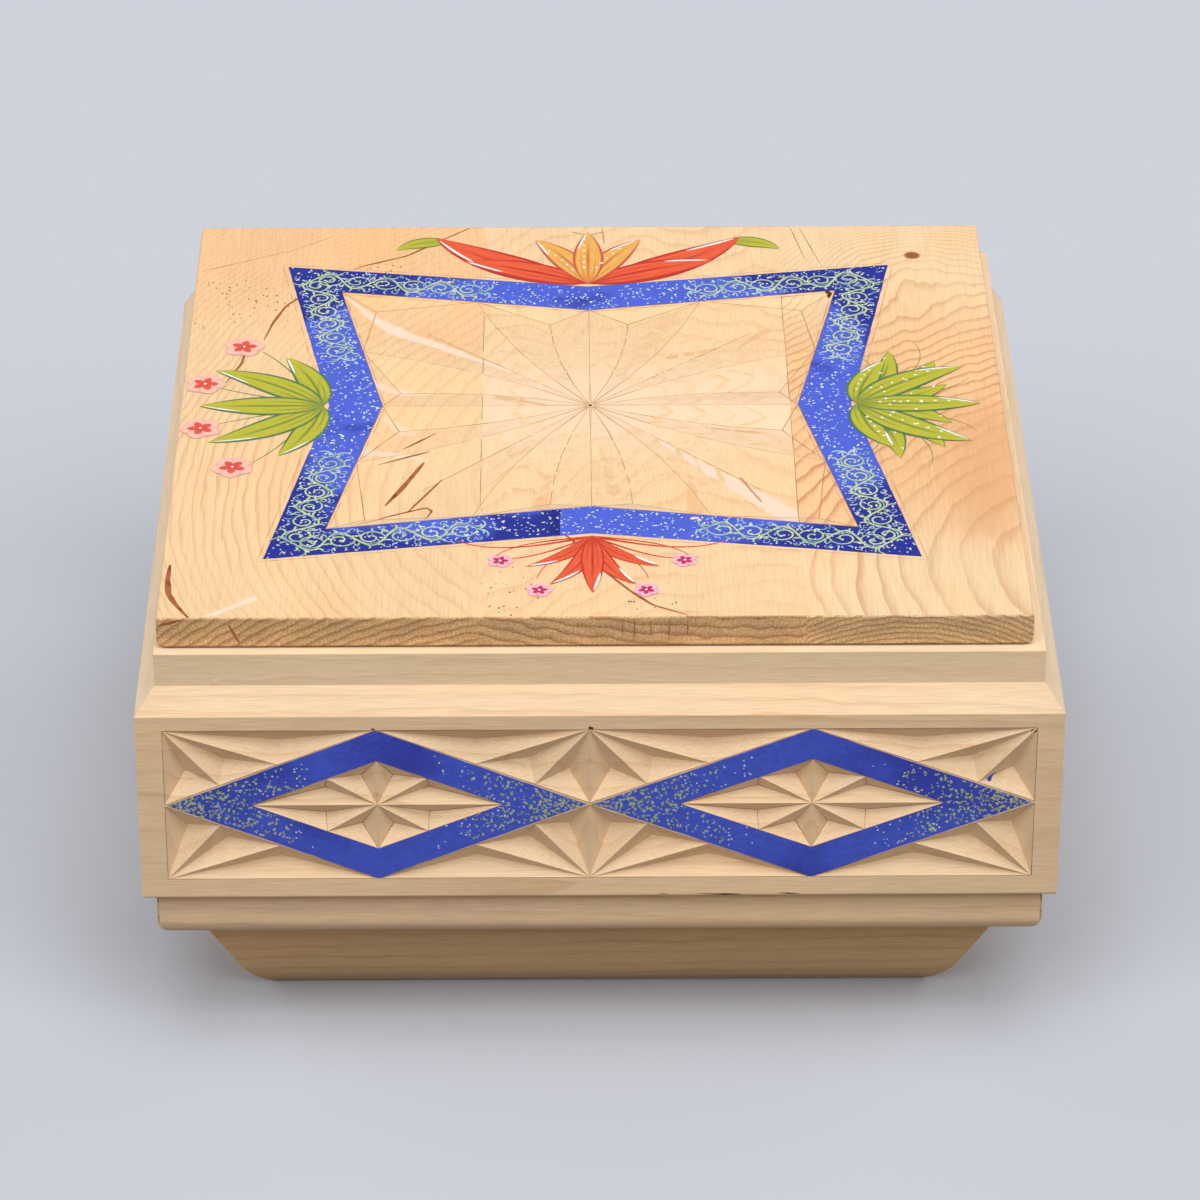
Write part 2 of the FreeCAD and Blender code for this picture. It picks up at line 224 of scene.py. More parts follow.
def strip(tree, log, start, end, narrow, wide):
    """Share of a soft-edged strip in the wood, from start to end as (along, across)."""
    run = Vector((*end, 0)) - Vector((*start, 0))
    offset = add_node(tree, "VectorMath", {0: log, 1: (*start, 0.0)}, operation="SUBTRACT")[0]
    flat = stretched(tree, offset, (1.0, 1.0, 0.0))
    share = add_node(tree, "VectorMath", {0: flat, 1: run / run.length_squared},
                     operation="DOT_PRODUCT")["Value"]
    share = calc(tree, "MINIMUM", calc(tree, "MAXIMUM", share, 0.0), 1.0)
    nearest = add_node(tree, "VectorMath", {0: run, "Scale": share}, operation="SCALE")[0]
    ragged = varied(tree, log, stain_scale, 0.8, 1.3)
    away = times(tree, distance(tree, flat, nearest), ragged)
    reach = calc(tree, "ADD", times(tree, share, wide - narrow), narrow)
    core = 0.32 if wide < broad_stain else 0.0
    return ramp(tree, calc(tree, "DIVIDE", away, reach), core, 0.58, 1.0, 0.0)


def year_ring(tree, year, first, last, power):
    """How dark the wood is across one year: it deepens outwards, then pales at once."""
    return times(tree, calc(tree, "POWER", ramp(tree, year, first, last), power),
                 ramp(tree, year, last, 1.0, 1.0, 0.0))


def timber(name, axes, heart, rings, pale, dark, contrast, ends=None, end_tone=0.6, pits=(),
           flush=0.4, swell=(0.0, 0.0), knot=None, tan=None, fade=None, stains=(), foot=None):
    """A softwood, solid through the piece, so that tops, ends and carved facets agree.

    axes: the grain's, the width's and the thickness's, 0 to 2 for x to z.
    heart: where the tree's heart lies across the width and in thickness.
    rings: the growth rings' step, their lean along the grain, how far they wander and how much
    they crowd outwards.  contrast: how strongly they show.
    ends: where the sawn ends lie along the grain, and the heart and step of the rings there.
    end_tone: how light they are.  pits: places and spreads of clusters of dark specks.
    flush: how strong the redder clouds are.  swell: the place along the grain about which the
    rings close, as at a bend in the tree, and how much.  knot: its place, its spread and its push.
    tan: where along the grain the wood is browner, how far and how much.  fade: from where and to
    where the rings grow fainter, and what is left of them.  stains: strips of another colour, as
    (start, end and the widths there, in millimetres), colour and share.
    foot: the height of the lower edge, above which the sawn ends are painted darker: a painted shadow line
    for the gap beneath the edge.
    """
    step, lean, wander, crowding = rings
    material, tree, shader = new_material(name, roughness=0.58, gloss=0.3)
    shader.inputs["Sheen Weight"].default_value = 0.2
    place = add_node(tree, "SeparateXYZ", {0: add_node(tree, "TexCoord")["Object"]})
    along, across, deep = (place[axis] for axis in axes)
    log = add_node(tree, "CombineXYZ", {0: along, 1: across, 2: deep})[0]
    roaming, shaking = (calc(tree, "SUBTRACT", noise(tree, stretched(tree, log, scale), 1.0), 0.5)
                        for scale in (roam_scale, shake_scale))
    lengthways = times(tree, calc(tree, "SUBTRACT", along, swell[0]), swell[1])
    sideways, upward = calc(tree, "SUBTRACT", across, heart[0]), calc(tree, "SUBTRACT", deep, heart[1])
    radius = vector_length(tree, add_node(tree, "CombineXYZ", {0: lengthways, 1: sideways, 2: upward})[0])
    grown = calc(tree, "ADD", calc(tree, "ADD", radius, times(tree, along, lean)),
                 calc(tree, "ADD", times(tree, roaming, wander), times(tree, shaking, step * 0.8)))
    if knot:
        knot_place, spread, strength = knot
        away = distance(tree, log, knot_place)
        reach = calc(tree, "DIVIDE", away, spread)
        push = calc(tree, "POWER", math.e, times(tree, reach, reach, -1.0))
        grown = calc(tree, "ADD", grown, times(tree, push, strength))
        knot_core = ramp(tree, away, *knot_edge, 1.0, 0.0)
    outward = calc(tree, "POWER", calc(tree, "DIVIDE", grown, crowd_reach), crowding)
    year = calc(tree, "FRACT", times(tree, outward, crowd_reach / step / crowding))
    late = times(tree, year_ring(tree, year, 0.3, 0.95, 3.0),
                 varied(tree, log, late_scale, 0.35, 1.0, 1.0, 1.3))
    plain = ramp(tree, grown, *heart_plain, 0.5, 1.0) if crowding > 1 else 1.0
    share = times(tree, late, contrast, plain)
    if fade:
        near, far, left_over = fade
        share = times(tree, share, ramp(tree, along, near, far, 1.0, left_over))
    colour = mix_colours(tree, share, pale, dark)
    fibre = noise(tree, stretched(tree, log, fibre_scale), 1.0, 3.0)
    cloud = varied(tree, log, cloud_scale, 0.94, 1.03, 3.0)
    colour = shaded(tree, colour, times(tree, ramp(tree, fibre, 0.3, 0.7, 0.91, 1.04), cloud))
    redder = ramp(tree, noise(tree, stretched(tree, log, flush_scale), 1.7), 0.44, 0.68)
    redder = times(tree, flush, redder)
    if tan:
        middle, reach, strength = tan
        off = calc(tree, "ABSOLUTE", calc(tree, "SUBTRACT", along, middle))
        redder = calc(tree, "ADD", redder, ramp(tree, off, reach * 0.3, reach, strength, 0.0))
    colour = mix_colours(tree, redder, colour, mix_colours(tree, 1.0, colour, flushed, "MULTIPLY"))
    for (start_x, start_y, end_x, end_y, narrow, wide), tone, amount in stains:
        inside = strip(tree, log, (start_y / 1000, start_x / 1000), (end_y / 1000, end_x / 1000),
                       narrow / 1000, wide / 1000)
        colour = mix_colours(tree, times(tree, inside, amount), colour, tone)
    for middle, spread in pits:
        cells = add_node(tree, "TexVoronoi", {"Vector": stretched(tree, log, speck_scale), "Scale": 1.0})[0]
        ragged = times(tree, distance(tree, log, middle),
                       ramp(tree, noise(tree, log, speck_cloud), 0.3, 0.7, 0.6, 1.6))
        speck = times(tree, ramp(tree, cells, 0.12, 0.2, 1.0, 0.0),
                      ramp(tree, ragged, spread * 0.6, spread, 1.0, 0.0))
        colour = mix_colours(tree, speck, colour, speck_brown)
    if knot:
        colour = mix_colours(tree, knot_core, colour, knot_brown)
    if ends:
        first, last, end_heart, end_step = ends
        near = ramp(tree, along, first + end_skin, first + 2 * end_skin, 1.0, 0.0)
        far = ramp(tree, along, last - 2 * end_skin, last - end_skin, 0.0, 1.0)
        flat = stretched(tree, add_node(tree, "VectorMath", {0: log, 1: (0.0, *end_heart)},
                                        operation="SUBTRACT")[0], (0.0, 1.0, 1.0))
        span = calc(tree, "ADD", vector_length(tree, flat), times(tree, shaking, end_step * 1.1))
        layer = calc(tree, "FRACT", calc(tree, "DIVIDE", span, end_step))
        layer = year_ring(tree, layer, 0.2, 0.9, 2.0)
        sawn = mix_colours(tree, times(tree, layer, 0.68), pale, end_rings)
        pore = ramp(tree, noise(tree, log, pore_scale, 1.0), 0.35, 0.7, end_tone * 0.84, end_tone * 1.24)
        sawn = shaded(tree, sawn, times(tree, pore, varied(tree, log, end_scale, 0.9, 1.1)))
        sawn = mix_colours(tree, 1.0, sawn, end_warmth, "MULTIPLY")
        # Painted shadow: the sawn end darkens just above its lower edge, where the lid sits on the collar.
        if foot:
            sawn = shaded(tree, sawn, ramp(tree, deep, foot + lid_shadow_reach[0], foot + lid_shadow_reach[1],
                                           lid_shadow_tone, 1.0))
        colour = mix_colours(tree, calc(tree, "MAXIMUM", near, far), colour, sawn)
    relief = calc(tree, "ADD", times(tree, late, 0.5), times(tree, fibre, 0.5))
    dress(tree, shader, colour, relief, 0.14, 0.0004)
    return material


def finish_node(node, material):
    """Gives a carried-over piece its finish."""
    nodes[node].data.materials.clear()
    nodes[node].data.materials.append(material)


for piece, (pale, cross_pale, dark) in bar_colours.items():
    long_wood = timber(f"{piece}_wood_front", (0, 2, 1), long_heart, case_rings, pale, dark, 0.5,
                       flush=case_flush)
    cross_wood = timber(f"{piece}_wood_side", (1, 2, 0), cross_heart, case_rings, cross_pale, dark, 0.35,
                        (front_face - 0.01, back_face, cross_heart, ring_step), 0.95, flush=case_flush)
    for side in ("front", "back"):
        finish_node(f"{piece}_{side}", long_wood)
    for side in ("left", "right"):
        finish_node(f"{piece}_{side}", cross_wood)
board_ends = (board_low.x, board_high.x, board_heart, ring_step)
finish_node("bottom_board", timber("board_wood", (0, 1, 2), board_heart, case_rings, case_pale, case_dark,
                                   0.35, board_ends, 0.72, flush=case_flush))


# Lid boards: three softwood boards glued edge to edge, planed and left bare, their grain running
# from front to back.  The left one bows, the middle one is pale and quiet, the right one is wild.
lid_low, lid_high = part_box("lid_board_left")
lid_front, lid_back, lid_top = lid_low.y, lid_high.y, lid_high.z
lid_left, lid_right = lid_low.x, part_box("lid_board_right")[1].x
lid_axes = (1, 0, 2)

lid_pale = tint(255, 215, 165)
pale_grain_and_highlight, brown_growth, scuffed = tint(255, 226, 202), tint(234, 180, 124), tint(255, 234, 212)
# The pale colour lays pale grain, and along the star's upper-left diagonal, from the seam out to the corner,
# a painted highlight where the smooth-cut facets shine.
diagonal_highlight = ((-55.0, 50.5, -16.4, 20.1, 5.4, 0.8), pale_grain_and_highlight, 0.9)
left_stains = [
    ((-46.0, 48.0, -32.0, 38.0, 22.0, 30.0), brown_growth, 0.35), diagonal_highlight,
    ((-68.5, 68.5, -55.0, 50.5, 1.6, 5.4), pale_grain_and_highlight, 0.9),
    ((-60.0, 17.0, -45.0, 13.5, 6.0, 1.5), pale_grain_and_highlight, 0.7),
    ((-61.0, -20.5, -46.6, -24.6, 5.0, 1.5), pale_grain_and_highlight, 0.7),
    ((-56.0, -2.0, -50.0, -8.0, 3.0, 5.0), pale_grain_and_highlight, 0.5),
    ((-96.5, -105.5, -87.0, -98.0, 1.4, 2.6), scuffed, 0.6),
    ((-99.0, -106.5, -95.0, -104.8, 1.0, 1.6), scuffed, 0.5),
]
middle_stains = [
    ((-20.0, 4.5, 42.0, 4.5, 76.0, 76.0), tint(255, 223, 190), 0.7), diagonal_highlight,
    # The pale strip down the star's lower-right diagonal is a painted highlight on the shining cut facets.
    ((13.0, -10.3, 53.0, -58.0, 0.8, 10.0), pale_grain_and_highlight, 0.85),
    ((-26.0, 10.4, -14.0, 5.0, 3.0, 1.6), brown_growth, 0.75),
    ((29.7, -7.0, 43.0, -8.8, 1.2, 1.8), brown_growth, 0.9),
    ((20.0, 32.5, 34.0, 39.5, 2.4, 0.8), brown_growth, 0.8),
    ((39.5, 39.5, 46.5, 49.5, 1.4, 3.4), brown_growth, 0.6),
    ((37.6, -34.0, 42.5, -46.5, 1.1, 0.7), tint(190, 136, 96), 0.8),
    ((-14.7, -51.0, -13.0, -33.0, 7.0, 1.2), brown_growth, 0.5),
    ((24.9, -53.0, 24.2, -35.0, 5.0, 0.8), brown_growth, 0.55),
    ((4.6, -43.0, 1.0, -18.0, 5.0, 0.8), brown_growth, 0.35),
    ((20.0, 56.0, 7.0, 22.0, 7.0, 1.0), brown_growth, 0.3),
    ((14.0, 8.0, 48.0, 13.0, 1.0, 9.0), brown_growth, 0.25),
]
right_stains = [((100.0, -62.0, 104.0, -10.0, 26.0, 50.0), tint(226, 160, 104), 0.5)]
left_pits = [((0.07, -0.096, lid_top), 0.02), ((0.082, -0.06, lid_top), 0.014)]
middle_pits = [((-0.101, 0.012, lid_top), 0.011), ((-0.098, -0.021, lid_top), 0.013)]
back_knot = ((0.093, 0.0895, lid_top), 0.034, -0.03)
middle_heart = (0.038, lid_top + 0.24)

finish_node("lid_board_left", timber(
    "bowed_lid_wood", lid_axes, (0.025, lid_top - 0.03), (0.0036, 0.0, 0.011, 2.4), lid_pale,
    tint(206, 140, 88), 0.42, (lid_front, lid_back, (-0.005, lid_top - 0.14), 0.0022), 0.75, left_pits,
    flush=0.45, swell=(-0.04, 0.8), tan=(0.11, 0.08, 0.6), fade=(0.0, 0.08, 0.5), stains=left_stains,
    foot=lid_low.z))
finish_node("lid_board_middle", timber(
    "quiet_lid_wood", lid_axes, middle_heart, (0.0022, 0.22, 0.012, 1.0), tint(255, 215, 167),
    tint(222, 160, 108), 0.34, (lid_front, lid_back, middle_heart, 0.0028), 0.73, middle_pits,
    flush=0.3, stains=middle_stains, foot=lid_low.z))
finish_node("lid_board_right", timber(
    "wild_lid_wood", lid_axes, (0.15, lid_top - 0.026), (0.005, 0.0, 0.018, 2.0), tint(255, 219, 173),
    tint(200, 130, 80), 0.85, (lid_front, lid_back, (0.078, lid_top - 0.06), 0.0015), 0.73,
    flush=0.5, swell=(-0.085, 1.0), knot=back_knot, tan=(-0.005, 0.085, 1.1), fade=(-0.01, 0.06, 0.55),
    stains=right_stains, foot=lid_low.z))


# Star band: flat blue paint laid by hand on the lid's face, between the carved star and a scribed
# line.  It is bright, with darker patches where the brush was refilled.
star_middle = Vector(((lid_left + lid_right) / 2 - 0.0005, (lid_front + lid_back) / 2 + 0.0025, lid_top))
band_outer_tip, band_outer_notch = Vector((0.084, 0.0825, 0)), 0.0698
band_inner_tip, band_inner_notch = Vector((0.0686, 0.0671, 0)), 0.0556
tip_shade = (star_middle, 0.072, 0.1, -0.1, 0.3)
front_shade = (star_middle + Vector((-0.026, -0.065, 0)), 0.012, 0.02, 0.17, 0.0)
brush_scale = (500.0, 1500.0, 900.0)
paint_under, paint_over = 0.00002, 0.00006
hand_wobble, hand_step = 0.00007, 0.003
lid_face = Matrix.Translation(star_middle)


def painted(name, bright, deep, patch_size, shades=()):
    """Opaque hand-brushed paint: streaks, and patches of a deeper colour, more about some places.

    shades are such places, the reach over which each changes, and what it adds within and beyond.
    """
    material, tree, shader = new_material(name, roughness=0.42, gloss=0.3)
    place = add_node(tree, "TexCoord")["Object"]
    patch = noise(tree, place, 1 / patch_size, 4.0)
    for middle, near, far, within, beyond in shades:
        shade = ramp(tree, distance(tree, place, middle), near, far, within, beyond)
        patch = calc(tree, "ADD", patch, shade)
    patch = ramp(tree, patch, 0.46, 0.68)
    stroke = noise(tree, stretched(tree, place, brush_scale), 1.0)
    colour = shaded(tree, mix_colours(tree, patch, bright, deep), ramp(tree, stroke, 0.3, 0.7, 0.9, 1.08))
    dress(tree, shader, colour, stroke, 0.12, 0.0002)
    return material


def star_outline(tip, notch):
    """Eight corners of the star, from the right-hand notch round."""
    half = [Vector((notch, 0, 0)), tip, Vector((0, notch, 0)), Vector((-tip.x, tip.y, 0))]
    return half + [-corner for corner in half]


def sides(corners):
    """The start and the end of each side of a closed outline."""
    return zip(corners, corners[1:] + corners[:1])


def hand_edge(corners, dice):
    """A closed outline whose points stray a little, as a brushed edge does."""
    points = []
    for start, end in sides(corners):
        count = max(2, round((end - start).length / hand_step))
        side = (end - start).cross(Vector((0, 0, 1))).normalized()
        for index in range(count):
            stray = dice.uniform(-hand_wobble, hand_wobble) if index else 0.0
            points.append(start.lerp(end, index / count) + side * stray)
    return points


def film(name, flat, thickness, face, material):
    """Flat faces made a film of paint, and laid on a face given by its matrix."""
    under = bmesh.ops.extrude_face_region(flat, geom=list(flat.faces))
    low = [item for item in under["geom"] if isinstance(item, bmesh.types.BMVert)]
    bmesh.ops.translate(flat, verts=low, vec=(0, 0, -thickness))
    bmesh.ops.recalc_face_normals(flat, faces=flat.faces)
    bmesh.ops.transform(flat, matrix=face, verts=flat.verts)
    return mesh_object(name, flat, material)


def painted_ring(name, outlines, face, material):
    """Flat paint between two outlines, a hair thick."""
    shape = bmesh.new()
    loops = []
    for outline in outlines:
        corners = [shape.verts.new(point + Vector((0, 0, paint_over))) for point in outline]
        loops += [shape.edges.new(pair) for pair in sides(corners)]
    bmesh.ops.triangle_fill(shape, edges=loops, use_beauty=True, normal=(0, 0, 1))
    return film(name, shape, paint_under + paint_over, face, material)


dice = random.Random(7)
band_blue = painted("star_blue_paint", tint(84, 105, 218), tint(44, 54, 152), 0.02,
                    (tip_shade, front_shade))
star_band = painted_ring("star_band", [hand_edge(star_outline(band_outer_tip, band_outer_notch), dice),
                                       hand_edge(star_outline(band_inner_tip, band_inner_notch), dice)],
                         lid_face, band_blue)
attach(star_band, "lid")


# Scrollwork on the star band: from every tip a thin wavy stem runs down both arms and puts out a
# spiral into each of its bays, with short hooks, brushed in pale yellow green.
bay_length, bay_count, stem_swing = 0.0079, 6, 0.0039
stem_width, spiral_width, comma_width, hair_width = 0.0007, 0.00062, 0.0006, 0.0003
bulb_width, comma_reach, edge_curl_place = 0.0011, 0.0013, 0.0046
comma_angles = (0.5, 1.2, 1.9, 2.6)
spiral_reach, spiral_turns = (0.46, 0.52), (2.2, 2.8)
brush_flatness = 0.2


def band_arms():
    """The band's eight arms, each from its tip to its notch: outer and inner edge."""
    outer = star_outline(band_outer_tip, band_outer_notch)
    inner = star_outline(band_inner_tip, band_inner_notch)
    arms = []
    for corner in (1, 3, 5, 7):
        for notch in ((corner + 1) % 8, corner - 1):
            arms.append((outer[corner], outer[notch], inner[corner], inner[notch]))
    return arms


def on_arm(arm, along, across):
    """A place on an arm: along runs from the tip to the notch, across from inner edge to outer."""
    outer = arm[0].lerp(arm[1], along)
    inner = arm[2].lerp(arm[3], along)
    return inner.lerp(outer, (across + 1) / 2)


def brushwork(name, strokes, face, material, lift=0.0, flatness=brush_flatness, roundness=1,
              drape=None, smooth=False):
    """Brush strokes as one mesh; a stroke is a list of (x, y, width), as seen on its face.

    drape gives the height of a carved face at a place, which the strokes then follow.
    """
    curve = bpy.data.curves.new(name, "CURVE")
    curve.dimensions = "3D"
    curve.bevel_depth = 0.5
    curve.bevel_resolution = roundness
    curve.use_fill_caps = True
    for stroke in strokes:
        spline = curve.splines.new("NURBS" if smooth else "POLY")
        spline.points.add(len(stroke) - 1)
        for point, (x, y, width) in zip(spline.points, stroke):
            point.co = (x, y, 0, 1)
            point.radius = width
        if smooth:
            spline.order_u = 3
            spline.use_endpoint_u = True
            spline.resolution_u = 5
    holder = bpy.data.objects.new(name, curve)
    mesh = bpy.data.meshes.new_from_object(holder)
    bpy.data.objects.remove(holder)
    shape = bmesh.new()
    shape.from_mesh(mesh)
    bmesh.ops.transform(shape, matrix=Matrix.Diagonal((1, 1, flatness, 1)), verts=shape.verts)
    bmesh.ops.translate(shape, verts=shape.verts, vec=(0, 0, lift))
    if drape:
        for vertex in shape.verts:
            vertex.co.z += drape(vertex.co.x, vertex.co.y)
    bmesh.ops.transform(shape, matrix=face, verts=shape.verts)
    for side in shape.faces:
        side.smooth = roundness > 0
    return mesh_object(name, shape, material)


def tapered(points, width, tail=0.25):
    """Gives a line of points the width of a brush stroke: thin at its ends."""
    last = len(points) - 1
    return [(point.x, point.y, width * (tail + (1 - tail) * math.sqrt(1 - (2 * index / last - 1) ** 2)))
            for index, point in enumerate(points)]


def towards(turn):
    return Vector((math.cos(turn), math.sin(turn), 0))


def dab(middle, width, length, turn, wander, dice):
    """A single dab of the brush as a short stroke of four points."""
    ahead = towards(turn) * length
    stroke = []
    for share, fullness in ((-0.5, 0.45), (-0.2, 1.0), (0.2, 0.95), (0.5, 0.4)):
        stray = Vector((dice.uniform(-wander, wander), dice.uniform(-wander, wander), 0)) * width
        point = middle + ahead * share + stray
        stroke.append((point.x, point.y, width * fullness * (1 + dice.uniform(-wander, wander))))
    return stroke


def arc_points(middle, ahead, side, radius, first, last, count=8):
    """Points on an arc whose angles run from ahead towards side; its radius may be a pair."""
    start, end = radius if isinstance(radius, tuple) else (radius, radius)
    points = []
    for index in range(count + 1):
        share = index / count
        angle = first + (last - first) * share
        reach = start + (end - start) * share ** 0.8
        points.append(middle + ahead * math.cos(angle) * reach + side * math.sin(angle) * reach)
    return points


def comma(foot, out, onward, reach, sweep, width):
    """A stroke that leaves a line along onward and curls away from it, outwards."""
    return tapered(arc_points(foot + out * reach, -out, onward, (reach, reach * 0.75), 0.0, sweep), width,
                   0.3)


def arm_scrolls(arm, dice):
    """Stem, spirals, commas and hair lines along the middle of one arm, from its tip."""
    start, end = (arm[0] + arm[2]) / 2, (arm[1] + arm[3]) / 2
    ahead = (end - start).normalized()
    side = ahead.cross(Vector((0, 0, 1)))
    if side.dot(arm[1]) < 0:
        side = -side
    stem = []
    for index in range(-8, 10 * bay_count + 1):
        bays = index / 10
        stem.append(start + ahead * bays * bay_length + side * stem_swing * math.sin(math.pi * bays))
    main, hair = [tapered(stem, stem_width, 0.4)], []
    for bay in range(bay_count):
        up = side if bay % 2 == 0 else -side
        middle = start + ahead * (bay + 0.5) * bay_length
        reach = bay_length * dice.uniform(*spiral_reach)
        turns = math.pi * dice.uniform(*spiral_turns)
        main.append(tapered(arc_points(middle, ahead, -up, (reach, 0.0008), 0.0, turns, 26),
                            spiral_width, 0.5))
        curl_end = Vector((main[-1][-1][0], main[-1][-1][1], 0))
        main.append(dab(curl_end, bulb_width, bulb_width * 0.6, 0, 0.0, dice))
        for angle in comma_angles:
            over = ahead * math.cos(angle) + up * math.sin(angle)
            under = ahead * math.cos(angle) - up * math.sin(angle)
            foot = middle + ahead * math.cos(angle) * bay_length / 2 + up * math.sin(angle) * stem_swing
            main.append(comma(foot, over, ahead * math.sin(angle) - up * math.cos(angle),
                              comma_reach * dice.uniform(0.7, 1.1), dice.uniform(1.6, 2.4), comma_width))
            hair.append(comma(middle + under * reach, under, -ahead * math.sin(angle) - up * math.cos(angle),
                              comma_reach * dice.uniform(0.7, 1.2), dice.uniform(1.4, 2.4),
                              comma_width * 0.8))
        for near in (-1, 1):
            curl = middle + ahead * bay_length * 0.5 + side * near * edge_curl_place
            hair.append(tapered(arc_points(curl, -ahead, side * near, (0.0013, 0.0003), -1.0, 4.6, 12),
                                hair_width, 0.4))
        hair.append(tapered(arc_points(middle, -ahead, up, (reach * 0.8, stem_swing * 0.72), 0.3, 2.6, 12),
                            hair_width, 0.4))
    tail = start + ahead * bay_count * bay_length
    for bend in (-1, 1):
        for reach in (0.0018, 0.003):
            hair.append(comma(tail, side * bend, ahead, reach, 2.2, comma_width))
    return main, hair


yellow_scroll = painted("scroll_paint", tint(205, 220, 160), tint(168, 198, 150), 0.006)
pale_scroll = painted("scroll_light_paint", tint(190, 215, 205), tint(140, 178, 190), 0.006)
arms = band_arms()
main_strokes, hair_strokes = [], []
for arm in arms:
    main, hair = arm_scrolls(arm, dice)
    main_strokes += main
    hair_strokes += hair
for name, strokes, material in (("band_scrolls", main_strokes, yellow_scroll),
                                ("band_scroll_lights", hair_strokes, pale_scroll)):
    scrolls = brushwork(name, strokes, lid_face, material, paint_over)
    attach(scrolls, "lid")


# Brush dots on the star band: pale dots and short dashes flicked on all round with a fine brush.
# Each stands as a tiny low pad of paint.
dot_count = 2200
dot_width, dash_share = (0.00028, 0.00056), 0.45
dash_stretch, dot_stretch = (1.4, 2.4), (0.7, 1.1)
pale_dots = painted("pale_dot_paint", tint(236, 240, 228), tint(205, 222, 205), 0.004)
dabs = []
for index in range(dot_count):
    along = (index // 8 + dice.random()) * 8 / dot_count
    middle = on_arm(arms[index % 8], along, dice.uniform(-0.94, 0.94))
    width = dice.uniform(*dot_width)
    stretch = dice.uniform(*(dash_stretch if dice.random() < dash_share else dot_stretch))
    dabs.append(dab(middle, width, width * stretch, dice.uniform(0, math.pi), 0.1, dice))
band_dots = brushwork("star_band_dots", dabs, lid_face, pale_dots, paint_over, roundness=0)
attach(band_dots, "lid")


# Rhombus bands: the flat bands left standing between the chips of the frieze, painted the same
# blue on the front and on both sides, up to the cut edges.
border_top, border_bottom, border_end = 0.004, 0.0061, 0.0068
bevel_height = 0.0063
front_middle_run = -0.0026
rhombus_band_width = 0.0083
tip_bare = 0.0008
panel_low, panel_high = wall_low.z + border_bottom, wall_high.z - bevel_height - border_top
panel_middle, half_height = (panel_low + panel_high) / 2, (panel_high - panel_low) / 2
side_middle = (front_face + back_face) / 2
half_depth = (back_face - front_face) / 2


def upright_face(origin, along=Vector((1, 0, 0))):
    """The matrix of an upright face: x runs along it, y up and z out of it."""
    out = along.cross(Vector((0, 0, 1)))
    columns = Matrix((along, Vector((0, 0, 1)), out)).transposed()
    return Matrix.Translation(origin) @ columns.to_4x4()


carved_faces = {
    "front": (upright_face(Vector((0, front_face, 0))), side_face, front_middle_run),
    "left": (upright_face(Vector((-side_face, side_middle, 0)), Vector((0, -1, 0))), half_depth, 0.0),
    "right": (upright_face(Vector((side_face, side_middle, 0)), Vector((0, 1, 0))), half_depth, 0.0),
}


def rhombus(middle, run, rise):
    """A rhombus's four corners, from the right one round."""
    return [Vector((middle + run * across, panel_middle + rise * up, 0))
            for across, up in ((1, 0), (0, 1), (-1, 0), (0, -1))]


def rhombi(half_run, middle_run):
    """Middle, half length and the inner edge's share of it, for the two rhombi of a panel."""
    stations = (border_end - half_run, middle_run, half_run - border_end)
    for start, end in zip(stations, stations[1:]):
        half_length = (end - start) / 2
        reach = half_length * half_height / math.hypot(half_length, half_height)
        yield (start + end) / 2, half_length, 1 - rhombus_band_width / reach


blue = painted("blue_paint", tint(72, 94, 212), tint(56, 70, 182), 0.03)
for side, (face, half_run, middle_run) in carved_faces.items():
    for order, (middle, half_length, inner) in zip(("first", "second"), rhombi(half_run, middle_run)):
        outlines = [hand_edge(rhombus(middle, half_length - tip_bare, half_height), dice),
                    hand_edge(rhombus(middle, half_length * inner, half_height * inner), dice)]
        rhombus_ring = painted_ring(f"rhombus_band_{side}_{order}", outlines, face, blue)
        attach(rhombus_ring, "box")


# Speckles on the rhombus bands: olive gold blotches dabbed on thickly towards the left and right
# tips of each rhombus, thinning out in tiny pale dots.
blotch_count, fine_count = 420, 40
blotch_reach, fine_reach = 0.6, 0.72
blotch_width, fine_width = (0.0004, 0.00095), (0.0003, 0.0005)
blotch_gap, blotch_thinning, blotch_shrink = 0.58, 0.65, 0.45
speckle_margin, speckle_inset = 0.93, 0.0005
speckle_flatness = 0.03
olive = painted("olive_speckle_paint", tint(182, 194, 134), tint(144, 162, 114), 0.003)
for side, (face, half_run, middle_run) in carved_faces.items():
    blotches, fine_dots, taken = [], [], []
    for middle, half_length, inner in rhombi(half_run, middle_run):
        for hand in (-1, 1):
            for index in range(blotch_count + fine_count):
                is_blotch = index < blotch_count
                run = (blotch_reach * (1 - dice.random() ** blotch_thinning) if is_blotch
                       else fine_reach * dice.uniform(0.5, 1.0))
                widest = run * half_height * speckle_margin
                tightest = max(0.0, (run - (1 - inner)) * half_height + speckle_inset)
                rise = dice.choice((-1, 1)) * dice.uniform(min(tightest, widest), widest)
                spot = Vector((middle + hand * (half_length - tip_bare - run * half_length),
                               panel_middle + rise, 0))
                if is_blotch:
                    width = dice.uniform(*blotch_width) * (1.1 - blotch_shrink * run / blotch_reach)
                    if all((spot - other).length > (width + wide) * blotch_gap for other, wide in taken):
                        taken.append((spot, width))
                        blotches.append(dab(spot, width, width * dice.uniform(0.9, 1.5),
                                            dice.uniform(0, math.pi), 0.35, dice))
                else:
                    width = dice.uniform(*fine_width)
                    fine_dots.append(dab(spot, width, width, 0, 0.1, dice))
    for name, strokes, material in ((f"{side}_speckles", blotches, olive),
                                    (f"{side}_fine_dots", fine_dots, pale_dots)):
        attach(brushwork(name, strokes, face, material, paint_over, speckle_flatness, 0), "box")


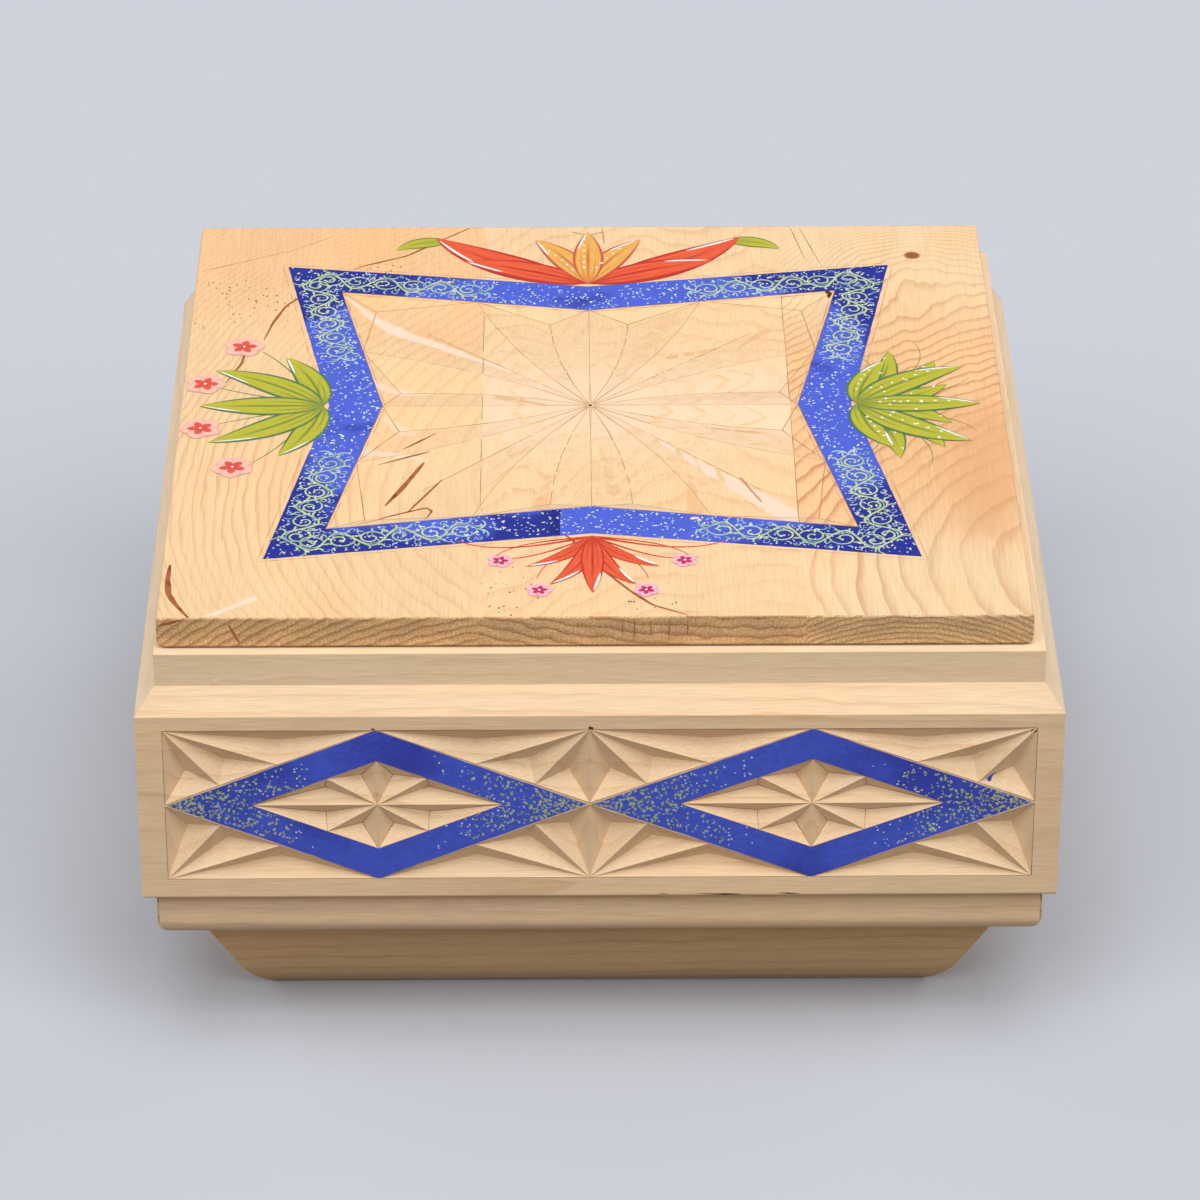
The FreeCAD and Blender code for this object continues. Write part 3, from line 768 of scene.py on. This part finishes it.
# Cut lines: a thin brown line is laid in the bottom of every hollow of the star and of the frieze,
# where the two sides of a cut meet: painted shade in the crease, darkened also by dirt.  A fainter
# line runs along the star's ridges.  The wood's figure shows on the star's cut facets as soft nested arcs.
cut_angle, ridge_angle = -0.16, 0.09
star_line_width, frieze_line_width = 0.00024, 0.00016
carving_depth, shortest_ridge, face_slack = 0.0035, 0.004, 0.0001


def carved_surface(names, face):
    """The height of the named pieces over a face, at a place on it, as their mesh has it."""
    shape = bmesh.new()
    for name in names:
        shape.from_mesh(nodes[name].data)
    surface = BVHTree.FromBMesh(shape)
    shape.free()
    inward = face.inverted()

    def height(x, y):
        start = face @ Vector((x, y, carving_depth))
        place = surface.ray_cast(start, -face.col[2].to_3d(), 3 * carving_depth)[0]
        return (inward @ place).z if place else 0.0

    return height


def cut_lines(name, face, width, ridges=False):
    """The edges of a carved piece at which a cut's two sides meet, or its ridges, as strokes."""
    shape = bmesh.new()
    shape.from_mesh(nodes[name].data)
    bmesh.ops.remove_doubles(shape, verts=shape.verts, dist=1e-6)
    inward = face.inverted()
    strokes = []
    for edge in shape.edges:
        if len(edge.link_faces) != 2:
            continue
        turn = edge.calc_face_angle_signed()
        if turn < ridge_angle if ridges else turn > cut_angle:
            continue
        start, end = (inward @ corner.co for corner in edge.verts)
        deepest, highest = min(start.z, end.z), max(start.z, end.z)
        midway = (start + end) / 2
        in_star = max(abs(midway.x), abs(midway.y)) < band_outer_notch
        is_ridge = in_star and (start - end).length > shortest_ridge
        if deepest > -carving_depth and highest < face_slack and (is_ridge or not ridges):
            strokes.append([(start.x, start.y, width * 0.8), (end.x, end.y, width)])
    shape.free()
    return strokes


# Painted shade: the brown lines laid in the creases of the frieze and of the star.
crease_shade = painted("crease_shade", tint(170, 122, 80), tint(110, 76, 48), 0.01)
star_crease_shade = painted("star_crease_shade_paint", tint(196, 146, 98), tint(140, 98, 62), 0.01)
lid_boards = ["lid_board_left", "lid_board_middle", "lid_board_right"]
lid_height = carved_surface(lid_boards, lid_face)
star_crease_lines = [stroke for board in lid_boards for stroke in cut_lines(board, lid_face, star_line_width)
              if abs(stroke[0][1]) < band_outer_notch]
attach(brushwork("star_crease_shade_lines", star_crease_lines, lid_face, star_crease_shade, 0.0, roundness=0,
                  drape=lid_height), "lid")
ridge_shade = painted("ridge_shade", tint(206, 158, 112), tint(176, 126, 84), 0.01)
ridge_lines = [stroke for board in lid_boards
               for stroke in cut_lines(board, lid_face, star_line_width * 0.8, True)]
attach(brushwork("star_ridge_lines", ridge_lines, lid_face, ridge_shade, 0.0, roundness=0,
                  drape=lid_height), "lid")

facet_count = 24
petal_turn, petal_swing = math.tau / facet_count, math.radians(7)
arc_step, arc_first, arc_last, arc_width = 0.0085, 0.018, 0.056, 0.0019
arc_left, arc_right = -0.0275, 0.052
arc_flatness = 0.02
inner_star = star_outline(band_inner_tip, band_inner_notch)


def star_reach(turn):
    """How far the carved star runs from its middle in a direction."""
    ahead = towards(turn)
    for start, end in sides(inner_star):
        side = end - start
        across = ahead.cross(side).z
        if abs(across) > 1e-9:
            reach, share = start.cross(side).z / across, start.cross(ahead).z / across
            if reach > 0 and 0 <= share <= 1:
                return reach
    return band_inner_notch


def petal_place(base, reach):
    """A place on one of the star's bent lines, at a distance from its middle."""
    turn = base + petal_swing * math.sin(4 * base) * (1 - 1.5 * reach / star_reach(base))
    return towards(turn) * reach


figure_arcs = []
for petal in range(facet_count):
    first, last = petal * petal_turn, (petal + 1) * petal_turn
    longest = min(star_reach(first), star_reach((first + last) / 2), star_reach(last), arc_last)
    reach = arc_first + dice.uniform(0, arc_step)
    while reach < longest:
        sag = reach * math.tan(petal_turn / 2) * 0.9
        arc = []
        for index in range(9):
            share = index / 8
            drop = 1.5 * sag * abs(2 * share - 1) ** 1.2
            arc.append(petal_place(first + (last - first) * share, reach - drop))
        if arc_left < min(point.x for point in arc) and max(point.x for point in arc) < arc_right:
            figure_arcs.append(tapered(arc, arc_width * dice.uniform(0.6, 1.1), 0.3))
        reach += arc_step * dice.uniform(0.8, 1.2)
soft_figure = painted("soft_figure", tint(252, 213, 168), tint(248, 205, 157), 0.01)
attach(brushwork("star_figure_arcs", figure_arcs, lid_face, soft_figure, 0.0, arc_flatness, 0, lid_height),
        "lid")

# The frieze's crease lines are painted shade in the bottom of its cuts.
for side, (face, half_run, middle_run) in carved_faces.items():
    lines = cut_lines(f"wall_{side}", face, frieze_line_width)
    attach(brushwork(f"{side}_cut_lines", lines, face, crease_shade, 0.0, roundness=0,
                      drape=carved_surface([f"wall_{side}"], face)), "box")


# Streaks and marks: brown resin streaks in the boards and their sawn ends, the line scribed round
# the star band before it was painted and pencil lines at the back.  A chip and two dark stripes lie
# in the band, and pricks, nicks and a stray lick of blue on the front wall.
thick_streaks = [
    [(-109.0, -80.7), (-109.2, -88.0), (-108.6, -95.5), (-106.4, -101.0), (-103.0, -107.3)],
    [(-55.2, -47.2), (-50.7, -38.1), (-45.5, -26.2)],
]
thin_streaks = [
    [(-90.5, 42.9), (-88.5, 53.0), (-85.3, 63.3), (-81.1, 69.3)],
    [(-99.7, 17.9), (-95.9, 29.5), (-95.0, 40.0)],
    [(-67.5, 85.2), (-64.5, 87.6), (-52.5, 93.8), (-44.0, 102.5), (-34.8, 111.6)],
    [(-49.4, -51.5), (-40.6, -33.9)],
    [(-62.4, -58.8), (-55.6, -53.6), (-44.5, -49.4), (-42.9, -51.6), (-44.9, -56.8)],
    [(-57.5, -27.8), (-44.0, -20.8)],
    [(-51.2, -19.1), (-42.6, -8.6)],
    [(-10.4, -64.0), (-6.5, -68.7), (-5.5, -72.3)],
    [(-1.2, -80.6), (3.0, -87.3), (8.2, -95.4), (13.4, -102.0), (22.1, -107.0)],
]
faint_streaks = [[(-110.5, 84.3), (-85.3, 97.2), (-73.2, 106.6)], [(2.5, 111.6), (3.0, 100.5)],
                 [(88.5, -14.0), (104.5, -6.5)]]
thick_width, thin_width, faint_width, pencil_width = 0.0015, 0.0008, 0.0005, 0.00025
pencil_lines = [[(55.7, 111.8), (59.3, 91.0)], [(58.2, 111.8), (63.9, 85.9)]]
end_cracks = [[(5.6, 123.6), (5.8, 118.5)], [(8.8, 123.8), (8.6, 116.8)], [(12.8, 123.2), (12.9, 118.0)],
              [(17.6, 123.8), (17.3, 117.0)], [(22.1, 123.5), (22.0, 118.8)]]
end_streaks = [[(-110.6, 122.3), (-107.6, 123.0), (-104.4, 124.0)], [(-93.0, 122.7), (-90.2, 116.8)]]
crack_width, end_streak_width = 0.00035, 0.0009
scribe_gap, scribe_width, scribe_wander = 0.0013, 0.00028, 0.00015
stripe_line = ((-0.0092, -0.0575, 1.0), (-0.0096, -0.0642, 1.1), (-0.0094, -0.0708, 1.0))
stripe_width, stripe_slope = 0.0024, 0.16
front_pricks = ((-2.9, 96.7, 1.2), (-57.5, 96.6, 0.9), (108.6, 95.4, 1.3))
front_nicks = (([(15.0, 47.0), (17.5, 46.9)], 0.25), ([(24.8, 47.1), (29.5, 46.9)], 0.25),
               ([(28.0, 46.9), (32.0, 46.8), (36.0, 46.8)], 0.5), ([(45.5, 47.1), (51.0, 46.9)], 0.35))
streak_flatness, mark_flatness = 0.05, 0.1


def metres(places):
    """Places on a face, measured in millimetres."""
    return [Vector((x / 1000, y / 1000, 0)) for x, y in places]


def streak(points, width, dice):
    """A long stroke of uneven width through a few places."""
    stroke = []
    for start, end in zip(points, points[1:]):
        count = max(2, round((end - start).length / hand_step))
        for index in range(count):
            stroke.append(start.lerp(end, index / count))
    stroke.append(points[-1])
    wander = [dice.uniform(0.75, 1.2) for point in stroke]
    return [(x, y, breadth * unsure) for (x, y, breadth), unsure in zip(tapered(stroke, width, 0.3), wander)]


white_paint = painted("white_light_paint", tint(250, 250, 246), tint(236, 240, 238), 0.004)
resin = painted("resin_brown", tint(178, 106, 66), tint(128, 66, 40), 0.004)
faint_resin = painted("faint_resin_brown", tint(226, 168, 120), tint(196, 132, 88), 0.006)
pencil = painted("pencil_grey", tint(150, 128, 108), tint(120, 102, 90), 0.006)
for name, lines, width, material in (("thick_streaks", thick_streaks, thick_width, resin),
                                     ("thin_streaks", thin_streaks, thin_width, resin),
                                     ("faint_streaks", faint_streaks, faint_width, faint_resin),
                                     ("pencil_lines", pencil_lines, pencil_width, pencil)):
    strokes = [streak([place - star_middle.xy.to_3d() for place in metres(line)], width, dice)
               for line in lines]
    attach(brushwork(name, strokes, lid_face, material, 0.0, streak_flatness, 0, lid_height, True), "lid")

scribed = []
for tip, notch, away in ((band_outer_tip, band_outer_notch, scribe_gap),
                         (band_inner_tip, band_inner_notch, -scribe_gap * 0.6)):
    grown = 1 + away / (notch * math.cos(math.atan2(tip.y, tip.x - notch) - math.pi / 2))
    outline = star_outline(tip * grown, notch * grown)
    for start, end in sides(outline):
        place = 0.0
        while place < 0.97:
            stop = min(1.0, place + dice.uniform(0.04, 0.3))
            stray = Vector([dice.uniform(-scribe_wander, scribe_wander) for part in "xy"] + [0])
            scribed.append(streak([start.lerp(end, place) + stray, start.lerp(end, stop) + stray],
                                  scribe_width, dice))
            place = stop + dice.uniform(0.0, 0.05)
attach(brushwork("scribed_lines", scribed, lid_face, faint_resin, 0.0, mark_flatness, 0, lid_height),
        "lid")

prick = [dab(Vector((0, 0, 0)), 0.0011, 0.0009, 0.0, 0.1, dice)]
tip_crack = [streak(metres([(65.5, 67.2), (67.0, 65.5), (66.5, 63.0)]), 0.0012, dice)]
dark_mark = painted("dark_mark", tint(84, 58, 44), tint(52, 38, 34), 0.004)
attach(brushwork("star_marks", prick + tip_crack, lid_face, dark_mark, 0.00005, mark_flatness, 0,
                  lid_height), "lid")
bare_wood = painted("bare_wood", tint(255, 226, 198), tint(253, 219, 184), 0.004)
chip = [dab(Vector((0.0262, -0.0625, 0)), 0.0016, 0.0022, 0.3, 0.3, dice),
        dab(Vector((0.0276, -0.0632, 0)), 0.0011, 0.0014, 1.2, 0.3, dice)]
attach(brushwork("band_chip", chip, lid_face, bare_wood, paint_over, 0.03, 0), "lid")
for name, order, tone in (("dark_band_stripe", 0, tint(38, 46, 132)),
                          ("band_stripe", 1, tint(44, 54, 146))):
    left = order * stripe_width
    stripe = [[(x - left, y - left * stripe_slope, stripe_width * breadth)
               for x, y, breadth in stripe_line]]
    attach(brushwork(name, stripe, lid_face, painted(name, tone, tone, 0.004), paint_over, 0.01, 0), "lid")

end_face = upright_face(Vector((0, lid_front, 0)))
for name, lines, width in (("end_cracks", end_cracks, crack_width),
                           ("end_streaks", end_streaks, end_streak_width)):
    strokes = [streak(metres(line), width, dice) for line in lines]
    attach(brushwork(name, strokes, end_face, resin, 0.0, mark_flatness, 0), "lid")

front_wall = carved_faces["front"][0]
front_height = carved_surface(["wall_front"], front_wall)
pricks = [[(x / 1000, z / 1000, width / 1000), ((x + width) / 1000, (z - 0.2) / 1000, width / 1400)]
          for x, z, width in front_pricks]
nicks = [streak(metres(line), width / 1000, dice) for line, width in front_nicks]
stray_blue = [[(0.0977, 0.079, 0.0009), (0.0984, 0.0803, 0.0012), (0.0992, 0.0813, 0.0007),
               (0.1001, 0.0822, 0.0003)]]
for name, strokes, material, height in (("front_pricks", pricks, dark_mark, front_height),
                                        ("front_nicks", nicks, dark_mark, None),
                                        ("stray_blue", stray_blue, blue, front_height)):
    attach(brushwork(name, strokes, front_wall, material, 0.0, mark_flatness, 0, height), "box")
fleck = [dab(Vector((-0.0965, 0.1082, 0)), 0.0009, 0.0012, 0.2, 0.2, dice)]
collar_face = upright_face(Vector((0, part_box("collar_front")[0].y, 0)))
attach(brushwork("collar_fleck", fleck, collar_face, white_paint, 0.0, mark_flatness, 0), "box")


# Painted sprays: a fan of leaves or petals springs from each notch of the star, laid in opaque
# paint with a fine brush, with a dark edge, white lights, thin tendrils and small pink blossoms.
leaf_steps, leaf_rows = 14, 6
coat_step, coat_height, line_flatness = 0.000012, 0.00008, 0.12
petal_count = 5
light_dot = 0.0009
notch_reach = band_outer_notch + 0.0018
leaf_colours = {
    "green_leaf": ((198, 192, 62), (84, 126, 88), (112, 136, 66), (176, 186, 70)),
    "red_petal": ((238, 92, 60), (196, 60, 52), (186, 44, 44), (250, 128, 84)),
    "gold_petal": ((240, 176, 84), (206, 92, 84), (214, 110, 70), (250, 208, 120)),
    "pink_petal": ((252, 196, 178), (248, 178, 160), (250, 184, 168), (253, 212, 196)),
    "lilac_petal": ((250, 190, 206), (240, 160, 188), (246, 170, 190), (252, 214, 222)),
    "red_heart": ((236, 92, 76), (224, 66, 62), (200, 40, 56), (244, 120, 96)),
    "magenta_heart": ((214, 44, 92), (196, 30, 84), (170, 20, 70), (232, 80, 110)),
}


def leaf_paint(name, bright, edge, vein, light):
    """Paint that follows a leaf: its own map runs from its foot to its tip and from side to side."""
    material, tree, shader = new_material(name, roughness=0.4, gloss=0.35)
    place = add_node(tree, "SeparateXYZ", {0: add_node(tree, "TexCoord")["UV"]})
    along, across = place[0], calc(tree, "SUBTRACT", times(tree, place[1], 2.0), 1.0)
    outward = calc(tree, "ABSOLUTE", across)
    brushed = add_node(tree, "CombineXYZ", {0: times(tree, along, 5.0), 1: times(tree, across, 7.0)})[0]
    streaks = noise(tree, brushed, 1.0, 3.0)
    colour = mix_colours(tree, ramp(tree, streaks, 0.4, 0.75, 0.0, 0.7), bright, light)
    middle_vein = times(tree, ramp(tree, outward, 0.04, 0.16, 1.0, 0.0),
                        ramp(tree, along, 0.5, 0.95, 0.8, 0.0))
    beside = calc(tree, "ABSOLUTE", calc(tree, "SUBTRACT", outward, 0.45))
    side_vein = times(tree, ramp(tree, beside, 0.03, 0.1, 0.6, 0.0),
                      ramp(tree, along, 0.25, 0.55, 1.0, 0.0))
    foot = ramp(tree, along, 0.02, 0.24, 0.65, 0.0)
    veins = calc(tree, "MAXIMUM", calc(tree, "MAXIMUM", middle_vein, side_vein), foot)
    colour = mix_colours(tree, veins, colour, vein)
    colour = mix_colours(tree, ramp(tree, outward, 0.76, 0.9), colour, edge)
    dress(tree, shader, colour, streaks, 0.15, 0.0002)
    return material


def bent_line(foot, tip, bend, along):
    """A place on a leaf's bent middle line, and the way the line runs there."""
    knee = (foot + tip) / 2 + Vector((foot.y - tip.y, tip.x - foot.x, 0)) * bend
    lower, upper = foot.lerp(knee, along), knee.lerp(tip, along)
    return lower.lerp(upper, along), (upper - lower).normalized()


def add_leaf(shape, foot, tip, bend, width, height, fullness=0.8):
    """One leaf on a flat face: a small grid drawn along a bent middle line to a point."""
    sheet = bmesh.ops.create_grid(shape, x_segments=leaf_steps, y_segments=leaf_rows, size=0.5,
                                  calc_uvs=True)["verts"]
    for vertex in sheet:
        along, across = vertex.co.x + 0.5, vertex.co.y * 2
        middle, ahead = bent_line(foot, tip, bend, along)
        half_width = width / 2 * math.sin(math.pi * along ** fullness) ** 0.8 if 0 < along < 0.999 else 0.0
        vertex.co = middle + Vector((-ahead.y, ahead.x, 0)) * across * half_width
        vertex.co.z = height
    return sheet


def paint_coat(name, leaves, face, material, height, group=None):
    """Leaves as one mesh, each a hair above the one before in its group; a leaf is foot, tip, bend
    and width."""
    shape = bmesh.new()
    shape.loops.layers.uv.new("leaf_map")
    for order, leaf in enumerate(leaves):
        add_leaf(shape, *leaf[:4], height + order % (group or len(leaves)) * coat_step, *leaf[4:])
    bmesh.ops.remove_doubles(shape, verts=shape.verts, dist=1e-7)
    bmesh.ops.recalc_face_normals(shape, faces=shape.faces)
    for polygon in shape.faces:
        if polygon.normal.z < 0:
            polygon.normal_flip()
    return film(name, shape, coat_step * 0.8, face, material)


def fan(foot, heading, spread, lengths, widths, bend=0.12, fullness=0.8):
    """Leaves that spread from one foot, in pairs to both sides of a heading, longest in the middle."""
    leaves = []
    for order in range(len(lengths) - 1, -1, -1):
        for hand in (-1, 1) if order else (0,):
            turn = heading + hand * order * spread
            tip = foot + towards(turn) * lengths[order]
            leaves.append((foot, tip, hand * bend, widths[order], fullness))
    return leaves


def tendril(foot, heading, length, curl, width):
    """A thin stroke that runs out from a foot and winds up towards its end."""
    place, turn, points = foot.copy(), heading, [foot.copy()]
    for index in range(18):
        place = place + towards(turn) * length / 18
        turn += curl * (index / 18) ** 1.5
        points.append(place)
    last = len(points) - 1
    return [(point.x, point.y, width * (1 - 0.7 * index / last)) for index, point in enumerate(points)]


def tendrils(foot, heading, pairs):
    """Tendrils to both sides of a heading; a pair is its turn, length, curl and width."""
    return [tendril(foot, heading + hand * turn, length, hand * curl, width)
            for hand in (-1, 1) for turn, length, curl, width in pairs]


petal_paints = {name: leaf_paint(f"{name}_paint", *[tint(*colour) for colour in colours])
                for name, colours in leaf_colours.items()}
green_line = painted("green_line_paint", tint(110, 146, 84), tint(84, 122, 80), 0.004)
red_line = painted("red_line_paint", tint(226, 84, 56), tint(196, 60, 48), 0.004)


def blossoms(places, size):
    """Small five-petalled blossoms: the pale petals, the deep hearts and the white eyes."""
    pale, deep, eyes = [], [], []
    for order, middle in enumerate(places):
        for petal in range(petal_count):
            turn = petal * math.tau / petal_count + order * 0.7
            out = towards(turn)
            pale.append((middle, middle + out * size, 0.0, size * 0.95, 1.25))
            deep.append((middle, middle + out * size * 0.62, 0.0, size * 0.36, 1.2))
        eyes.append((middle.x, middle.y))
    return pale, deep, eyes


def spray(name, parts, lines, flowers, lights):
    """One spray on the lid: leaves by paint, lines by paint, blossoms and white lights.

    flowers are the blossoms' places, size and two paints.
    """
    height = coat_height
    for label, leaves, paint in parts:
        coat = paint_coat(f"{name}_{label}", leaves, lid_face, petal_paints[paint], height)
        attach(coat, "lid")
        height += coat_step * (len(leaves) + 1)
    for label, strokes, material in lines:
        drawn = brushwork(f"{name}_{label}", strokes, lid_face, material, paint_over, line_flatness, 0)
        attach(drawn, "lid")
    if flowers:
        places, size, petal_paint, heart_paint = flowers
        pale, deep, eyes = blossoms(places, size)
        for label, petals, paint in (("blossoms", pale, petal_paint), ("hearts", deep, heart_paint)):
            coat = paint_coat(f"{name}_{label}", petals, lid_face, petal_paints[paint], height, petal_count)
            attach(coat, "lid")
            height += coat_step * (petal_count + 1)
        lights = lights + [dab(Vector((x, y, 0)), light_dot, light_dot * 0.8, 0.0, 0.1, dice)
                           for x, y in eyes]
    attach(brushwork(f"{name}_lights", lights, lid_face, white_paint, height, line_flatness, 0), "lid")


def beside_line(leaf, along, share):
    """A place by the bent middle line of a leaf, off to one side by a share of its width."""
    foot, tip, bend, width = leaf[:4]
    side = Vector((foot.y - tip.y, tip.x - foot.x, 0)).normalized()
    return bent_line(foot, tip, bend, along)[0] + side * width * share


def leaf_dots(leaves, count):
    """White dots in a row up one side of each leaf."""
    places = [beside_line(leaf, 0.3 + 0.55 * index / (count - 1), 0.14)
              for leaf in leaves for index in range(count)]
    return [dab(place, light_dot, light_dot * 0.8, 0.0, 0.15, dice) for place in places]


def tip_lights(leaves, width):
    """A white stroke along one edge of each leaf, near its tip."""
    steps = [0.66 + 0.05 * index for index in range(7)]
    return [tapered([beside_line(leaf, along, 0.42 * math.sin(math.pi * along ** 0.8)) for along in steps],
                    width) for leaf in leaves]


left_foot = Vector((-notch_reach, 0, 0))
left_leaves = fan(left_foot, math.pi, 0.6, (0.033, 0.036, 0.03), (0.0104, 0.0098, 0.0084), 0.13)
left_flowers = [left_foot + Vector((run, hand * rise, 0))
                for run, rise in ((-0.032, 0.0125), (-0.0225, 0.034)) for hand in (1, -1)]
left_stems = tendrils(left_foot, math.pi, ((0.32, 0.03, 0.02, 0.0007), (1.15, 0.036, -0.05, 0.0007),
                                           (1.4, 0.025, 0.25, 0.0007)))
spray("left_spray", [("leaves", left_leaves, "green_leaf")], [("stems", left_stems, green_line)],
      (left_flowers, 0.0058, "pink_petal", "red_heart"), tip_lights(left_leaves, 0.0006))

right_foot = Vector((notch_reach, 0, 0))
right_back_leaves = fan(right_foot, 0.0, 0.42, (0.02, 0.027, 0.033, 0.032),
                        (0.006, 0.008, 0.0086, 0.008), -0.16)
right_leaves = fan(right_foot, 0.0, 0.62, (0.033, 0.036, 0.026), (0.0096, 0.0102, 0.0082), 0.14)
right_curls = tendrils(right_foot, 0.0, ((0.25, 0.035, 0.12, 0.0004), (0.8, 0.042, 0.2, 0.0004),
                                         (1.2, 0.034, 0.3, 0.0004)))
spray("right_spray", [("back_leaves", right_back_leaves, "green_leaf"),
                      ("leaves", right_leaves, "green_leaf")], [("curls", right_curls, green_line)], None,
      leaf_dots(right_leaves, 6) + leaf_dots(right_back_leaves, 3) + tip_lights(right_leaves, 0.0007))

front_foot = Vector((0, -notch_reach, 0))
front_petals = fan(front_foot, -math.pi / 2, 0.42, (0.029, 0.027, 0.023), (0.006, 0.0056, 0.0044), -0.2)
front_curls = tendrils(front_foot, -math.pi / 2, (
    (1.25, 0.036, 0.16, 0.001), (1.4, 0.027, -0.12, 0.0008), (0.95, 0.03, 0.14, 0.0008),
    (0.75, 0.026, -0.1, 0.0006)))
front_flowers = [front_foot + Vector((hand * run, rise, 0))
                 for run, rise in ((0.0235, -0.0125), (0.0135, -0.0275)) for hand in (-1, 1)]
spray("front_spray", [("petals", front_petals, "red_petal")], [("curls", front_curls, red_line)],
      (front_flowers, 0.0035, "lilac_petal", "magenta_heart"), tip_lights(front_petals, 0.0008))

back_foot = Vector((0, notch_reach, 0))
back_petals = [(back_foot, back_foot + Vector((hand * run, rise, 0)), hand * bend, width, 0.9)
               for hand in (-1, 1)
               for run, rise, bend, width in ((0.043, 0.0285, -0.12, 0.0125), (0.035, 0.014, 0.06, 0.0105))]
gold_petals = fan(back_foot, math.pi / 2, 0.5, (0.032, 0.031), (0.0086, 0.0088), -0.1, 0.9)
back_leaves = [(back_foot + Vector((hand * 0.039, 0.026, 0)), back_foot + Vector((hand * 0.054, 0.021, 0)),
                hand * 0.25, 0.0062) for hand in (-1, 1)]
back_curls = tendrils(back_foot, math.pi / 2, ((0.8, 0.046, 0.2, 0.0007), (0.25, 0.036, -0.24, 0.0007)))
spray("back_spray", [("leaves", back_leaves, "green_leaf"), ("petals", back_petals, "red_petal"),
                     ("gold_petals", gold_petals, "gold_petal")], [("curls", back_curls, green_line)],
      None, tip_lights(back_petals, 0.0009) + leaf_dots(gold_petals, 6) + tip_lights(gold_petals, 0.0006))


# Hinges and screws: two small brass butt hinges let in at the back, their pins and countersunk
# screws of the same brass, brushed and a little dulled by handling.
brass, brass_tree, brass_shader = new_material("dull_brass", roughness=0.34, gloss=0.5)
brass_shader.inputs["Metallic"].default_value = 1.0
metal_place = add_node(brass_tree, "TexCoord")["Object"]
brushed_metal = noise(brass_tree, stretched(brass_tree, metal_place, (300.0, 300.0, 4000.0)), 1.0)
dulled = ramp(brass_tree, noise(brass_tree, metal_place, 420.0, 3.0), 0.3, 0.8)
brass_colour = mix_colours(brass_tree, dulled, tint(214, 180, 106), tint(198, 162, 92))
dress(brass_tree, brass_shader, brass_colour, brushed_metal, 0.1, 0.0001)
brass_tree.links.new(ramp(brass_tree, dulled, 0.0, 1.0, 0.3, 0.4), brass_shader.inputs["Roughness"])
for node in nodes:
    if "hinge" in node:
        finish_node(node, brass)
